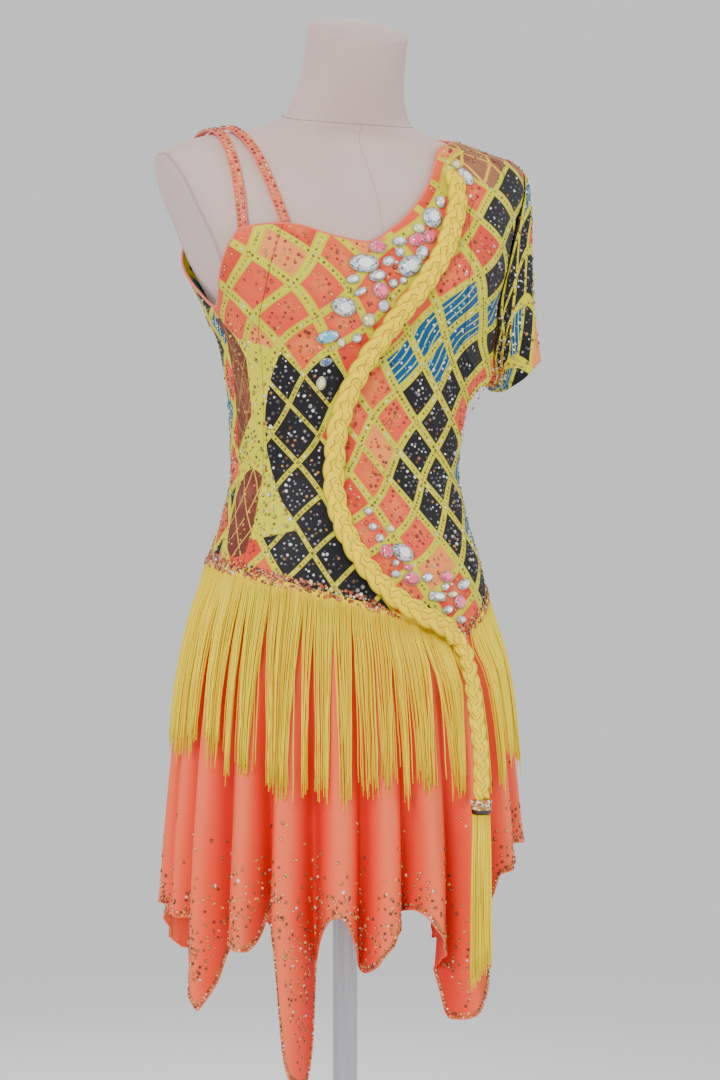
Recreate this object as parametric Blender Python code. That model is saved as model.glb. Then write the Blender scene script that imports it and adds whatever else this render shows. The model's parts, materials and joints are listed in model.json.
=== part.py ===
"""Asymmetric salsa dance dress on a limbless dress form, at real size.

Metres, +Z up.  The dress faces -Y and its wearer's left is +X.  The origin lies on the floor, under
the middle of the stand's base.

Everything worn is placed on the form by two coordinates: the turn round the body, 0 degrees at the
centre front, +90 at the wearer's left side, and the way along it, which is the height up to the
shoulder tip and then runs on over the shoulder to the neck.
"""
import math

import bpy
import numpy as np

# Cloth and its clearances.
CLOTH = 0.0014
FORM_GAP = 0.0032
SEAM_GAP = 0.0003
SEAM_TURN = 0.2
SEAM_SHARE = 0.0007

# The form: one row for each level of the torso and neck.
FORM_COLUMNS = ("along", "height", "half_width", "front", "back", "centre_y")
FORM_LEVELS = (
    (0.775, 0.775, 0.150, 0.104, 0.116, 0.000),
    (0.820, 0.820, 0.157, 0.109, 0.124, 0.000),
    (0.860, 0.860, 0.156, 0.110, 0.122, 0.000),
    (0.907, 0.907, 0.148, 0.105, 0.112, 0.000),
    (0.960, 0.960, 0.132, 0.095, 0.096, 0.000),
    (1.017, 1.017, 0.122, 0.088, 0.086, 0.000),
    (1.080, 1.080, 0.125, 0.092, 0.089, 0.000),
    (1.140, 1.140, 0.133, 0.100, 0.095, 0.001),
    (1.190, 1.190, 0.149, 0.107, 0.100, 0.003),
    (1.240, 1.240, 0.178, 0.109, 0.103, 0.007),
    (1.290, 1.290, 0.200, 0.099, 0.101, 0.011),
    (1.330, 1.330, 0.217, 0.080, 0.088, 0.014),
    (1.345, 1.345, 0.217, 0.069, 0.077, 0.015),
    (1.361, 1.355, 0.206, 0.060, 0.067, 0.015),
    (1.377, 1.362, 0.191, 0.056, 0.061, 0.015),
    (1.396, 1.368, 0.172, 0.053, 0.057, 0.015),
    (1.417, 1.373, 0.152, 0.051, 0.054, 0.014),
    (1.447, 1.378, 0.122, 0.050, 0.052, 0.012),
    (1.472, 1.385, 0.098, 0.050, 0.051, 0.008),
    (1.494, 1.395, 0.077, 0.051, 0.051, 0.002),
    (1.512, 1.410, 0.067, 0.052, 0.051, -0.006),
    (1.533, 1.430, 0.060, 0.053, 0.051, -0.014),
    (1.563, 1.460, 0.056, 0.052, 0.051, -0.025),
    (1.593, 1.490, 0.055, 0.051, 0.050, -0.034),
)
FORM_SQUARENESS, NECK_SQUARENESS = 2.4, 2.0
NECK_FROM, NECK_BLEND = 1.440, 0.060
FORM_SIDES = 40
FORM_RINGS_BELOW_ARMHOLE, FORM_RINGS_AT_ARMHOLE = 12, 6
SHOULDER_TIP = 1.330
NECK_TILT = 0.42
NECK_TILT_FROM, NECK_TILT_BLEND = 1.40, 0.09
FORM_EDGE_ROUND = 0.006

# Flat slanted plates that close the armholes: half width of the body at two heights.
PLATE_LOW_HEIGHT, PLATE_LOW_X = 1.190, 0.149
PLATE_HIGH_HEIGHT, PLATE_HIGH_X = 1.350, 0.216
PLATE_CLEARING = 0.35
PLATE_EDGE_SOFTNESS = 0.005

BUST_TURN = 34.0
BUST_ALONG = 1.212
BUST_WIDTH = 25.0
BUST_HEIGHT = 0.052
BUST_RISE = 0.17

# The stand.
POLE_RADIUS = 0.0135
BASE_RADIUS = 0.190
BASE_THICKNESS = 0.014
BASE_BEVEL = 0.003

# The line where the bodice ends and the skirt and fringe begin.
LINE_COLUMNS = ("turn", "height")
LINE = (
    (-180.0, 0.902),
    (-140.0, 0.908),
    (-106.0, 0.906),
    (-58.0, 0.892),
    (-25.0, 0.872),
    (4.0, 0.850),
    (31.0, 0.828),
    (45.0, 0.844),
    (60.0, 0.866),
    (78.0, 0.880),
    (100.0, 0.890),
    (140.0, 0.898),
    (180.0, 0.902),
)

# Ease: how much further the cloth stands off round the armholes.
ARMHOLE_EASE = 0.0042
ARMHOLE_EASE_FROM, ARMHOLE_EASE_TO = 1.150, 1.385
ARMHOLE_EASE_TURN = 42.0

# Edges of the bodice's front half.  The back half mirrors them.
EDGE_COLUMNS = ("share", "turn", "along")
UNDERARM_SHARE, SHOULDER_SHARE = 0.60, 0.88
NECKLINE = (
    (0.00, -49.5, 1.262),
    (0.14, -34.0, 1.267),
    (0.32, -18.0, 1.254),
    (0.42, -8.0, 1.250),
    (0.54, 3.5, 1.268),
    (0.65, 13.0, 1.298),
    (0.75, 20.0, 1.334),
    (0.84, 28.0, 1.375),
    (0.92, 48.0, 1.418),
    (1.00, 90.0, 1.452),
)
RIGHT_ARMHOLE = (
    (UNDERARM_SHARE, -90.0, 1.185),
    (0.74, -80.0, 1.199),
    (0.87, -66.0, 1.225),
    (1.00, -49.5, 1.262),
)
LEFT_ARMHOLE = (
    (UNDERARM_SHARE, 90.0, 1.116),
    (0.635, 77.5, 1.138),
    (0.685, 67.0, 1.184),
    (0.740, 61.5, 1.242),
    (0.795, 62.0, 1.302),
    (0.840, 70.0, 1.341),
    (SHOULDER_SHARE, 90.0, 1.366),
    (0.940, 90.0, 1.409),
    (1.000, 90.0, 1.452),
)
EDGE_PULL = 4.0
RIGHT_PANEL_SHARE = 0.14
LEFT_PANEL_SHARE = 0.91
BODICE_COLUMNS = 28
BODICE_ROWS_BELOW = 7
BODICE_ROWS_ABOVE = 9

# Left side: with no arm to fill it, the cloth hangs clear of the body on its way to the sleeve.
SIDE_DRAPE = 0.042
SIDE_DRAPE_FROM, SIDE_DRAPE_FULL, SIDE_DRAPE_TO = 1.000, 1.122, 1.290
SIDE_DRAPE_TURN = 52.0
SIDE_DRAPE_GROWTH = 1.9

# Sleeve: an open cap hung from the left armhole, flattened for want of an arm.
SLEEVE_HEM_X, SLEEVE_HEM_Y = 0.209, 0.000
SLEEVE_HEM_HALF_X, SLEEVE_HEM_HALF_Y = 0.018, 0.054
SLEEVE_HEM_HEIGHT, SLEEVE_HEM_DIP = 1.142, 0.040
SLEEVE_STAND_OUT, SLEEVE_SLOPE = 0.020, 0.05
SLEEVE_SEAM_GAP = 0.0021
SLEEVE_FOLDS = 5
SLEEVE_FOLD_DEPTH = 0.0020
SLEEVE_COLUMNS, SLEEVE_ROWS = 32, 5

# Straps over the right shoulder: distance of the centre line from the middle at its foot and top.
STRAP_WIDTH, STRAP_THICKNESS = 0.0115, 0.0022
STRAP_LIFT = 0.0008
STRAPS = (
    ("strap_outer", 0.1490, 0.1555, 1.2631),
    ("strap_inner", 0.1100, 0.1410, 1.2688),
)
STRAP_STEPS = 23

# Skirt: the envelope that its fold crests touch, then the folds and the hem.
FLARE_COLUMNS = ("height", "half_width", "front", "back")
FLARE = (
    (0.340, 0.210, 0.170, 0.180),
    (0.540, 0.204, 0.163, 0.174),
    (0.604, 0.200, 0.160, 0.169),
    (0.648, 0.196, 0.156, 0.166),
    (0.692, 0.192, 0.151, 0.162),
    (0.736, 0.187, 0.145, 0.157),
    (0.780, 0.181, 0.137, 0.151),
    (0.825, 0.172, 0.127, 0.142),
    (0.870, 0.162, 0.117, 0.132),
    (0.912, 0.153, 0.110, 0.119),
)
FLARE_SQUARENESS = 2.2
FLARE_BLEND = 0.05
CREST_COLUMNS = ("turn", "depth")
CRESTS = (
    (-171.0, 0.036),
    (-150.0, 0.040),
    (-128.0, 0.036),
    (-107.0, 0.030),
    (-90.0, 0.034),
    (-75.0, 0.040),
    (-54.0, 0.043),
    (-40.0, 0.046),
    (-21.0, 0.040),
    (-6.0, 0.037),
    (10.0, 0.042),
    (28.0, 0.044),
    (45.0, 0.040),
    (66.0, 0.035),
    (90.0, 0.032),
    (111.0, 0.038),
    (131.0, 0.041),
    (153.0, 0.038),
    (172.0, 0.036),
)
FOLD_START, FOLD_DROP = 0.014, 0.345
FOLD_GROWTH = 0.90
FOLD_SHARPNESS = 1.35
FOLD_OVERHANG = 0.22
HEM_COLUMNS = ("turn", "height")
HEM = (
    (-180.0, 0.452),
    (-163.0, 0.548),
    (-150.0, 0.556),
    (-134.0, 0.480),
    (-120.0, 0.548),
    (-104.0, 0.541),
    (-84.0, 0.530),
    (-78.0, 0.514),
    (-75.0, 0.462),
    (-72.0, 0.440),
    (-69.0, 0.474),
    (-65.0, 0.518),
    (-52.0, 0.506),
    (-46.0, 0.560),
    (-41.5, 0.516),
    (-39.5, 0.440),
    (-37.2, 0.374),
    (-34.5, 0.364),
    (-32.0, 0.400),
    (-30.0, 0.490),
    (-22.0, 0.543),
    (-12.0, 0.480),
    (-4.0, 0.520),
    (5.0, 0.545),
    (13.0, 0.500),
    (19.0, 0.474),
    (22.2, 0.424),
    (25.5, 0.428),
    (28.5, 0.480),
    (35.0, 0.470),
    (42.0, 0.575),
    (64.0, 0.602),
    (92.0, 0.596),
    (120.0, 0.480),
    (134.0, 0.560),
    (146.0, 0.540),
    (158.0, 0.560),
    (180.0, 0.452),
)
SKIRT_PANELS = (
    ("skirt_front", -90.0, 45.0),
    ("skirt_left", 45.0, 131.0),
    ("skirt_back", 131.0, 210.0),
    ("skirt_right", 210.0, 270.0),
)
SKIRT_STEP = 3.3
SKIRT_ROWS = 6
SKIRT_TOP_CROWDING = 1.35

# Fringe: rows of locks under a narrow strip on the lower edge of the bodice.
FRINGE_ROWS = (
    ("fringe_front", -90.0, 33.0, 2.0),
    ("fringe_left", 38.0, 90.0, 2.0),
    ("fringe_back", 90.0, 270.0, 3.6),
)
FRINGE_STRIP_HEIGHT, FRINGE_STRIP_THICKNESS = 0.007, 0.0014
FRINGE_CLEARANCE = 0.0050
FRINGE_LOCK = 0.0021
FRINGE_LEVELS = (0.020, 0.070)
FRINGE_LENGTH_COLUMNS = ("turn", "length")
FRINGE_LENGTHS = (
    (-90.0, 0.185),
    (-60.0, 0.188),
    (-40.0, 0.198),
    (-28.0, 0.206),
    (-15.0, 0.188),
    (10.0, 0.168),
    (45.0, 0.155),
    (90.0, 0.165),
    (180.0, 0.180),
    (270.0, 0.185),
)
FRINGE_UNEVENNESS = 0.007

# Plaited braid: sewn down on the bodice, then hanging free with its tassel.
BRAID_COLUMNS = ("turn", "along")
BRAID_ROUTE = (
    (25.0, 1.328),
    (25.5, 1.300),
    (21.5, 1.254),
    (13.5, 1.208),
    (2.5, 1.170),
    (-10.5, 1.128),
    (-19.5, 1.084),
    (-24.0, 1.042),
    (-25.0, 0.998),
    (-21.5, 0.956),
    (-12.5, 0.912),
    (-0.5, 0.877),
    (14.0, 0.853),
    (22.0, 0.842),
    (26.0, 0.832),
)
BRAID_HALF_WIDTH, BRAID_HALF_THICKNESS = 0.0125, 0.0065
BRAID_PITCH = 0.022
BRAID_LOBE = 0.16
BRAID_SEAT = 0.0008
BRAID_SEAT_AT_END = 0.0052
BRAID_LIFT_FROM, BRAID_LIFT = 0.880, 0.035
BRAID_STATIONS, BRAID_SIDES = 78, 8
DROP_DIAMETER = 0.018
DROP_COLUMNS = ("turn", "height", "clearance")
DROP_ROUTE = (
    (28.0, 0.812, 0.0155),
    (25.5, 0.795, 0.0180),
    (23.0, 0.768, 0.0225),
    (21.5, 0.735, 0.0275),
    (20.5, 0.700, 0.0315),
    (20.5, 0.662, 0.0320),
)
DROP_LEAD, DROP_POINTS = 0.003, 9
TASSEL_CAP_HEIGHT, TASSEL_CAP_RADIUS = 0.016, 0.0110
TASSEL_HEAD_HEIGHT, TASSEL_HEAD_RADIUS = 0.006, 0.0095
TASSEL_LENGTH, TASSEL_SLANT = 0.155, 0.016
TASSEL_SPREAD = 1.25
TASSEL_CELLS = 5

# Largest sewn-on stones: place on the bodice, size, and turn of the long side from level.
STONE_COLUMNS = ("turn", "along", "length", "width", "tilt")
STONES = (
    (17.0, 1.279, 0.0240, 0.0215, 55.0),
    (-10.5, 1.227, 0.0360, 0.0195, 5.0),
    (8.0, 1.226, 0.0265, 0.0210, 30.0),
    (-20.5, 1.182, 0.0255, 0.0195, 165.0),
    (-4.0, 1.245, 0.0215, 0.0135, 5.0),
    (10.5, 1.254, 0.0180, 0.0145, 20.0),
    (15.5, 1.258, 0.0160, 0.0135, 40.0),
    (-4.0, 1.200, 0.0205, 0.0160, 155.0),
    (-5.5, 1.215, 0.0215, 0.0120, 15.0),
    (12.5, 1.240, 0.0155, 0.0135, 60.0),
    (-28.0, 1.151, 0.0230, 0.0140, 15.0),
    (-13.5, 1.198, 0.0175, 0.0100, 25.0),
    (4.5, 1.252, 0.0165, 0.0105, 5.0),
    (-9.5, 1.169, 0.0150, 0.0145, 160.0),
    (-0.5, 0.922, 0.0150, 0.0150, 175.0),
    (7.5, 0.920, 0.0235, 0.0185, 150.0),
    (10.0, 0.893, 0.0190, 0.0145, 0.0),
    (27.0, 0.895, 0.0190, 0.0130, 0.0),
    (21.0, 0.874, 0.0230, 0.0105, 175.0),
    (32.5, 0.8675, 0.0170, 0.0145, 175.0),
)
STONE_SIDES = 8
STONE_HEIGHT = 0.0055
STONE_SEAT = 0.0006
STONE_FOOT, STONE_GIRDLE, STONE_TABLE = 0.90, 0.38, 0.55

# Colours: name of the finish, red, green, blue, roughness, metallic.
FINISHES = {
    "form_cloth": (0.72, 0.55, 0.49, 0.85, 0.0),
    "stand_metal": (0.55, 0.55, 0.57, 0.35, 1.0),
    "bodice_print": (0.82, 0.42, 0.16, 0.60, 0.0),
    "side_sequin": (0.33, 0.09, 0.05, 0.45, 0.0),
    "inset_sequin": (0.80, 0.78, 0.88, 0.40, 0.0),
    "skirt_satin": (0.95, 0.23, 0.13, 0.50, 0.0),
    "fringe_yellow": (0.93, 0.68, 0.06, 0.55, 0.0),
    "braid_yellow": (0.95, 0.80, 0.06, 0.55, 0.0),
    "strap_coral": (0.92, 0.28, 0.14, 0.55, 0.0),
    "stone_glass": (0.85, 0.82, 0.88, 0.08, 0.0),
}


# --------------------------------------------------------------------------- small tools

def column(table, columns, name):
    """One named column of a table as an array."""
    return np.array([row[columns.index(name)] for row in table], dtype=float)


def smooth(at, knots, values):
    """Curve through (knot, value) pairs that never overshoots them."""
    step = np.diff(knots)
    rise = np.diff(values) / step
    slope = np.concatenate(([rise[0]], np.zeros(len(rise) - 1), [rise[-1]]))
    turning = rise[:-1] * rise[1:] > 0
    both = np.where(turning, rise[:-1] + rise[1:], 1.0)
    slope[1:-1] = np.where(turning, 2.0 * rise[:-1] * rise[1:] / both, 0.0)
    at = np.asarray(at, dtype=float)
    piece = np.clip(np.searchsorted(knots, at, side="right") - 1, 0, len(step) - 1)
    t = (at - knots[piece]) / step[piece]
    start, end = values[piece], values[piece + 1]
    leave, arrive = slope[piece] * step[piece], slope[piece + 1] * step[piece]
    return (start * (2 * t ** 3 - 3 * t ** 2 + 1) + leave * (t ** 3 - 2 * t ** 2 + t)
            + end * (3 * t ** 2 - 2 * t ** 3) + arrive * (t ** 3 - t ** 2))


def ease(t):
    """Smooth step from 0 to 1."""
    t = np.clip(t, 0.0, 1.0)
    return t * t * (3.0 - 2.0 * t)


def wrapped(turn):
    """The same turn between -180 and +180 degrees."""
    return (np.asarray(turn, dtype=float) + 180.0) % 360.0 - 180.0


def unit(vectors):
    """Vectors scaled to length 1."""
    return vectors / np.linalg.norm(vectors, axis=-1, keepdims=True)


def oval(turn, half_width, front, back, squareness):
    """x and y of a rounded section: an ellipse pushed out towards its corners."""
    side, ahead = np.sin(np.radians(turn)), np.cos(np.radians(turn))
    push = (np.abs(side) ** squareness + np.abs(ahead) ** squareness) ** (-1.0 / squareness)
    depth = np.where(ahead > 0, front, back)
    return half_width * push * side, -depth * push * ahead


def finish(name):
    """Principled material of one of the named finishes."""
    if name in bpy.data.materials:
        return bpy.data.materials[name]
    red, green, blue, roughness, metallic = FINISHES[name]
    material = bpy.data.materials.new(name)
    material.use_nodes = True
    shader = material.node_tree.nodes["Principled BSDF"]
    shader.inputs["Base Color"].default_value = (red, green, blue, 1.0)
    shader.inputs["Roughness"].default_value = roughness
    shader.inputs["Metallic"].default_value = metallic
    return material


def add_solid(name, points, faces, finish_name, sharp_angle=50.0):
    """Object of a closed mesh whose faces are turned outward."""
    mesh = bpy.data.meshes.new(name)
    mesh.from_pydata([tuple(map(float, point)) for point in points], [], faces)
    corners = np.array([(points[f[0]], points[f[k]], points[f[k + 1]])
                        for f in faces for k in range(1, len(f) - 1)])
    volume = np.einsum("ij,ij->i", corners[:, 0], np.cross(corners[:, 1], corners[:, 2])).sum()
    if volume < 0:
        mesh.flip_normals()
    mesh.shade_smooth()
    mesh.set_sharp_from_angle(angle=math.radians(sharp_angle))
    mesh.materials.append(finish(finish_name))
    solid = bpy.data.objects.new(name, mesh)
    bpy.context.collection.objects.link(solid)
    return solid


def grid_faces(rows, columns, wrap, first=0):
    """Quads of a grid whose points are stored row by row."""
    last = columns if wrap else columns - 1
    return [(first + j * columns + i, first + j * columns + (i + 1) % columns,
             first + (j + 1) * columns + (i + 1) % columns, first + (j + 1) * columns + i)
            for j in range(rows - 1) for i in range(last)]


def add_wall(name, outer, inner, finish_name, wrap=False):
    """Closed wall between an outer and an inner grid of points."""
    rows, columns = outer.shape[:2]
    count = rows * columns
    points = np.concatenate((outer.reshape(-1, 3), inner.reshape(-1, 3)))
    faces = grid_faces(rows, columns, wrap)
    faces += [tuple(reversed(face)) for face in grid_faces(rows, columns, wrap, count)]
    last = columns if wrap else columns - 1
    for row, flip in ((0, False), (rows - 1, True)):
        for i in range(last):
            a, b = row * columns + i, row * columns + (i + 1) % columns
            rim = (a, a + count, b + count, b)
            faces.append(tuple(reversed(rim)) if flip else rim)
    if not wrap:
        for edge, flip in ((0, True), (columns - 1, False)):
            for j in range(rows - 1):
                a, b = j * columns + edge, (j + 1) * columns + edge
                rim = (a, a + count, b + count, b)
                faces.append(tuple(reversed(rim)) if flip else rim)
    return add_solid(name, points, faces, finish_name)


def add_tube(name, rings, finish_name):
    """Closed solid through rings of points, with flat ends."""
    stations, sides = rings.shape[:2]
    faces = grid_faces(stations, sides, True)
    faces.append(tuple(reversed(range(sides))))
    faces.append(tuple(range((stations - 1) * sides, stations * sides)))
    return add_solid(name, rings.reshape(-1, 3), faces, finish_name)


# --------------------------------------------------------------------------- the form

def form_point(turn, along):
    """Points of the form's surface."""
    knots = column(FORM_LEVELS, FORM_COLUMNS, "along")
    level = {name: smooth(along, knots, column(FORM_LEVELS, FORM_COLUMNS, name))
             for name in FORM_COLUMNS[1:]}
    squareness = FORM_SQUARENESS + (NECK_SQUARENESS - FORM_SQUARENESS) * ease(
        (np.asarray(along) - NECK_FROM) / NECK_BLEND)
    x, y = oval(turn, level["half_width"], level["front"], level["back"], squareness)
    facing = np.exp(-((np.abs(wrapped(turn)) - BUST_TURN) / BUST_WIDTH) ** 2)
    y = y * (1 + BUST_RISE * facing * np.exp(-((along - BUST_ALONG) / BUST_HEIGHT) ** 2))
    slope = (PLATE_HIGH_X - PLATE_LOW_X) / (PLATE_HIGH_HEIGHT - PLATE_LOW_HEIGHT)
    above = level["height"] - PLATE_LOW_HEIGHT
    over = np.abs(x) - PLATE_LOW_X - np.where(above > 0, slope * above, -PLATE_CLEARING * above)
    soft = PLATE_EDGE_SOFTNESS * np.log1p(np.exp(np.clip(over / PLATE_EDGE_SOFTNESS, -30, 30)))
    x = np.sign(x) * (np.abs(x) - soft)
    lean = NECK_TILT * ease((level["height"] - NECK_TILT_FROM) / NECK_TILT_BLEND)
    return np.stack(np.broadcast_arrays(x, level["centre_y"] + y, level["height"] + lean * y), -1)


def form_frame(turn, along):
    """Surface points with their level and upward directions and their outward normals."""
    turn, along = np.broadcast_arrays(np.asarray(turn, float), np.asarray(along, float))
    step_turn, step_along = 1.5, 0.003
    across = unit(form_point(turn + step_turn, along) - form_point(turn - step_turn, along))
    up = unit(form_point(turn, along + step_along) - form_point(turn, along - step_along))
    return form_point(turn, along), across, up, unit(np.cross(across, up))


def off_form(turn, along, out):
    """Points moved straight out from the form's surface."""
    points, _, _, normal = form_frame(turn, along)
    return points + normal * np.asarray(out)[..., None]


def side_drape(turn, along):
    """How far the left side hangs clear below the arm, on its way out to the sleeve."""
    beside = 1 - ease(np.abs(wrapped(turn) - 90.0) / SIDE_DRAPE_TURN)
    level = np.clip((along - SIDE_DRAPE_FROM) / (SIDE_DRAPE_FULL - SIDE_DRAPE_FROM), 0, 1)
    fall = 1 - ease((along - SIDE_DRAPE_FULL) / (SIDE_DRAPE_TO - SIDE_DRAPE_FULL))
    return SIDE_DRAPE * beside * level ** SIDE_DRAPE_GROWTH * fall


def cloth_gap(turn, along):
    """Clearance of the cloth from the form, more round the armholes and under the left arm."""
    beside = 1 - ease((np.abs(np.abs(wrapped(turn)) - 90.0) - ARMHOLE_EASE_TURN) / 14.0)
    level = ease((along - ARMHOLE_EASE_FROM) / 0.03) * ease((ARMHOLE_EASE_TO - along) / 0.03)
    return FORM_GAP + ARMHOLE_EASE * beside * level + side_drape(turn, along)


def make_form():
    """Torso and neck of the form in one smooth piece, flat underneath."""
    knots = column(FORM_LEVELS, FORM_COLUMNS, "along")
    below = np.linspace(knots[0] + FORM_EDGE_ROUND, PLATE_LOW_HEIGHT, FORM_RINGS_BELOW_ARMHOLE)
    beside = np.linspace(PLATE_LOW_HEIGHT, SHOULDER_TIP, FORM_RINGS_AT_ARMHOLE + 1)[1:]
    levels = np.concatenate((below, beside, knots[knots > SHOULDER_TIP + 0.001]))
    turns = np.arange(FORM_SIDES) * 360.0 / FORM_SIDES
    rings = form_point(turns[None, :], levels[:, None])
    foot = rings[0] * (0.965, 0.965, 1.0) - (0.0, 0.0, FORM_EDGE_ROUND)
    add_tube("form_torso", np.concatenate((foot[None], rings)), "form_cloth")


def make_stand():
    """Slim pole under the torso and a round base on the floor."""
    torso_foot = column(FORM_LEVELS, FORM_COLUMNS, "along")[0]
    low, high = BASE_THICKNESS + SEAM_GAP, torso_foot - SEAM_GAP
    bpy.ops.mesh.primitive_cylinder_add(vertices=24, radius=POLE_RADIUS, depth=high - low,
                                        location=(0.0, 0.0, (low + high) / 2))
    pole = bpy.context.object
    bpy.ops.mesh.primitive_cylinder_add(vertices=44, radius=BASE_RADIUS, depth=BASE_THICKNESS,
                                        location=(0.0, 0.0, BASE_THICKNESS / 2))
    base = bpy.context.object
    bevel = base.modifiers.new("rounded_rim", "BEVEL")
    bevel.width = BASE_BEVEL
    bevel.segments = 2
    bevel.angle_limit = math.radians(40.0)
    for solid, name in ((pole, "form_pole"), (base, "form_base")):
        solid.name = name
        solid.data.name = name
        solid.data.shade_smooth()
        solid.data.set_sharp_from_angle(angle=math.radians(40.0))
        solid.data.materials.append(finish("stand_metal"))


# --------------------------------------------------------------------------- bodice and sleeve

def line_height(turn):
    """Height of the bodice's lower edge."""
    return smooth(wrapped(turn), column(LINE, LINE_COLUMNS, "turn"),
                  column(LINE, LINE_COLUMNS, "height"))


def trace(table, share):
    """Turn and way along at a share of an edge's table."""
    knots = column(table, EDGE_COLUMNS, "share")
    return np.stack([smooth(share, knots, column(table, EDGE_COLUMNS, name))
                     for name in ("turn", "along")], -1)


def side_edge(armhole, share, side_turn, half):
    """A side seam up to the underarm and the armhole's edge above it."""
    foot = line_height(half(side_turn)) + SEAM_GAP
    underarm = column(armhole, EDGE_COLUMNS, "along")[0]
    seam = np.stack(np.broadcast_arrays(
        side_turn, foot + (underarm - foot) * share / UNDERARM_SHARE), -1)
    return np.where((share > UNDERARM_SHARE)[..., None],
                    trace(armhole, np.maximum(share, UNDERARM_SHARE)), seam)


def bodice_place(across, up, half):
    """Turn and way along inside the bodice: straight from foot to neckline, pulled to its sides."""
    across, up = np.broadcast_arrays(across, up)
    foot_turn = -90.0 + 180.0 * across
    foot = np.stack((foot_turn, line_height(half(foot_turn)) + SEAM_GAP), -1)
    top = trace(NECKLINE, across)
    right = side_edge(RIGHT_ARMHOLE, up, -90.0, half)
    left = side_edge(LEFT_ARMHOLE, up, 90.0, half)
    s, t = across[..., None], up[..., None]
    zero, one = np.zeros_like(across), np.ones_like(across)
    plain = (1 - t) * foot + t * top
    plain_right = ((1 - t) * side_edge(RIGHT_ARMHOLE, zero, -90.0, half)
                   + t * trace(NECKLINE, zero))
    plain_left = ((1 - t) * side_edge(LEFT_ARMHOLE, zero, 90.0, half)
                  + t * trace(NECKLINE, one))
    place = (plain + (1 - s) ** EDGE_PULL * (right - plain_right)
             + s ** EDGE_PULL * (left - plain_left))
    edge = 90.0 - SEAM_TURN
    return np.clip(place[..., 0], -edge, edge), place[..., 1]


def front_half(turn):
    """The front half keeps its turns."""
    return turn


def back_half(turn):
    """The back half mirrors the front's turns."""
    return 180.0 - turn


def make_bodice_piece(name, start, end, half, finish_name):
    """Wall over one upright part of the bodice's front or back half."""
    count = max(3, round(BODICE_COLUMNS * (end - start)) + 1)
    first = start + (SEAM_SHARE if start > 0 else 0.0)
    final = end - (SEAM_SHARE if end < 1 else 0.0)
    across = np.linspace(first, final, count)
    up = np.concatenate((np.linspace(0, UNDERARM_SHARE, BODICE_ROWS_BELOW),
                         np.linspace(UNDERARM_SHARE, 1, BODICE_ROWS_ABOVE)[1:]))
    turn, along = bodice_place(across[None, :], up[:, None], half)
    gap = cloth_gap(half(turn), along)
    add_wall(name, off_form(half(turn), along, gap + CLOTH),
             off_form(half(turn), along, gap), finish_name)


def make_bodice():
    """Front, two side panels and back."""
    make_bodice_piece("bodice_side_right", 0.0, RIGHT_PANEL_SHARE, front_half, "side_sequin")
    make_bodice_piece("bodice_front", RIGHT_PANEL_SHARE, LEFT_PANEL_SHARE, front_half,
                      "bodice_print")
    make_bodice_piece("bodice_side_left", LEFT_PANEL_SHARE, 1.0, front_half, "inset_sequin")
    make_bodice_piece("bodice_back", 0.0, 1.0, back_half, "bodice_print")


def sleeve_point(around, down):
    """Sleeve surface: from the armhole's edge, out over it and down to a wavy hem.

    around runs from the shoulder down the front to the underarm and up the back.
    """
    around = around % 1.0
    share = np.abs(1.0 - 2.0 * around)
    place = trace(LEFT_ARMHOLE, UNDERARM_SHARE + (SHOULDER_SHARE - UNDERARM_SHARE) * share)
    turn = np.where(around < 0.5, place[..., 0], 180.0 - place[..., 0])
    root, _, _, normal = form_frame(turn, place[..., 1])
    root = root + normal * (cloth_gap(turn, place[..., 1]) + CLOTH)[..., None]
    root = root + np.array((SLEEVE_SEAM_GAP, 0.0, 0.0))
    angle = 2 * np.pi * around
    waves = SLEEVE_FOLD_DEPTH * np.cos(SLEEVE_FOLDS * angle + 0.6) * ease(down)
    hem_x = SLEEVE_HEM_X + (SLEEVE_HEM_HALF_X + waves) * np.cos(angle)
    hem_y = SLEEVE_HEM_Y - (SLEEVE_HEM_HALF_Y + waves) * np.sin(angle)
    hem_z = SLEEVE_HEM_HEIGHT - SLEEVE_HEM_DIP * (0.5 - 0.5 * np.cos(angle)) ** 1.5
    hem = np.stack((hem_x, hem_y, hem_z), -1)
    t = down[..., None]
    over = root + (1 - t) * np.array((SLEEVE_STAND_OUT, 0.0, -SLEEVE_SLOPE * SLEEVE_STAND_OUT))
    return root * (1 - t) ** 2 + over * 2 * t * (1 - t) + hem * t ** 2


def make_sleeve():
    """Open cap sleeve, its inner face set in square to the outer one."""
    around, down = np.meshgrid(np.arange(SLEEVE_COLUMNS) / SLEEVE_COLUMNS,
                               np.linspace(0, 1, SLEEVE_ROWS))
    step_around, step_down = 0.003, 0.004
    outer = sleeve_point(around, down)
    across = (sleeve_point(around + step_around, down)
              - sleeve_point(around - step_around, down))
    fall = sleeve_point(around, down + step_down) - sleeve_point(around, down - step_down)
    normal = unit(np.cross(across, fall))
    add_wall("sleeve_left", outer, outer - normal * CLOTH, "bodice_print", wrap=True)


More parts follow.
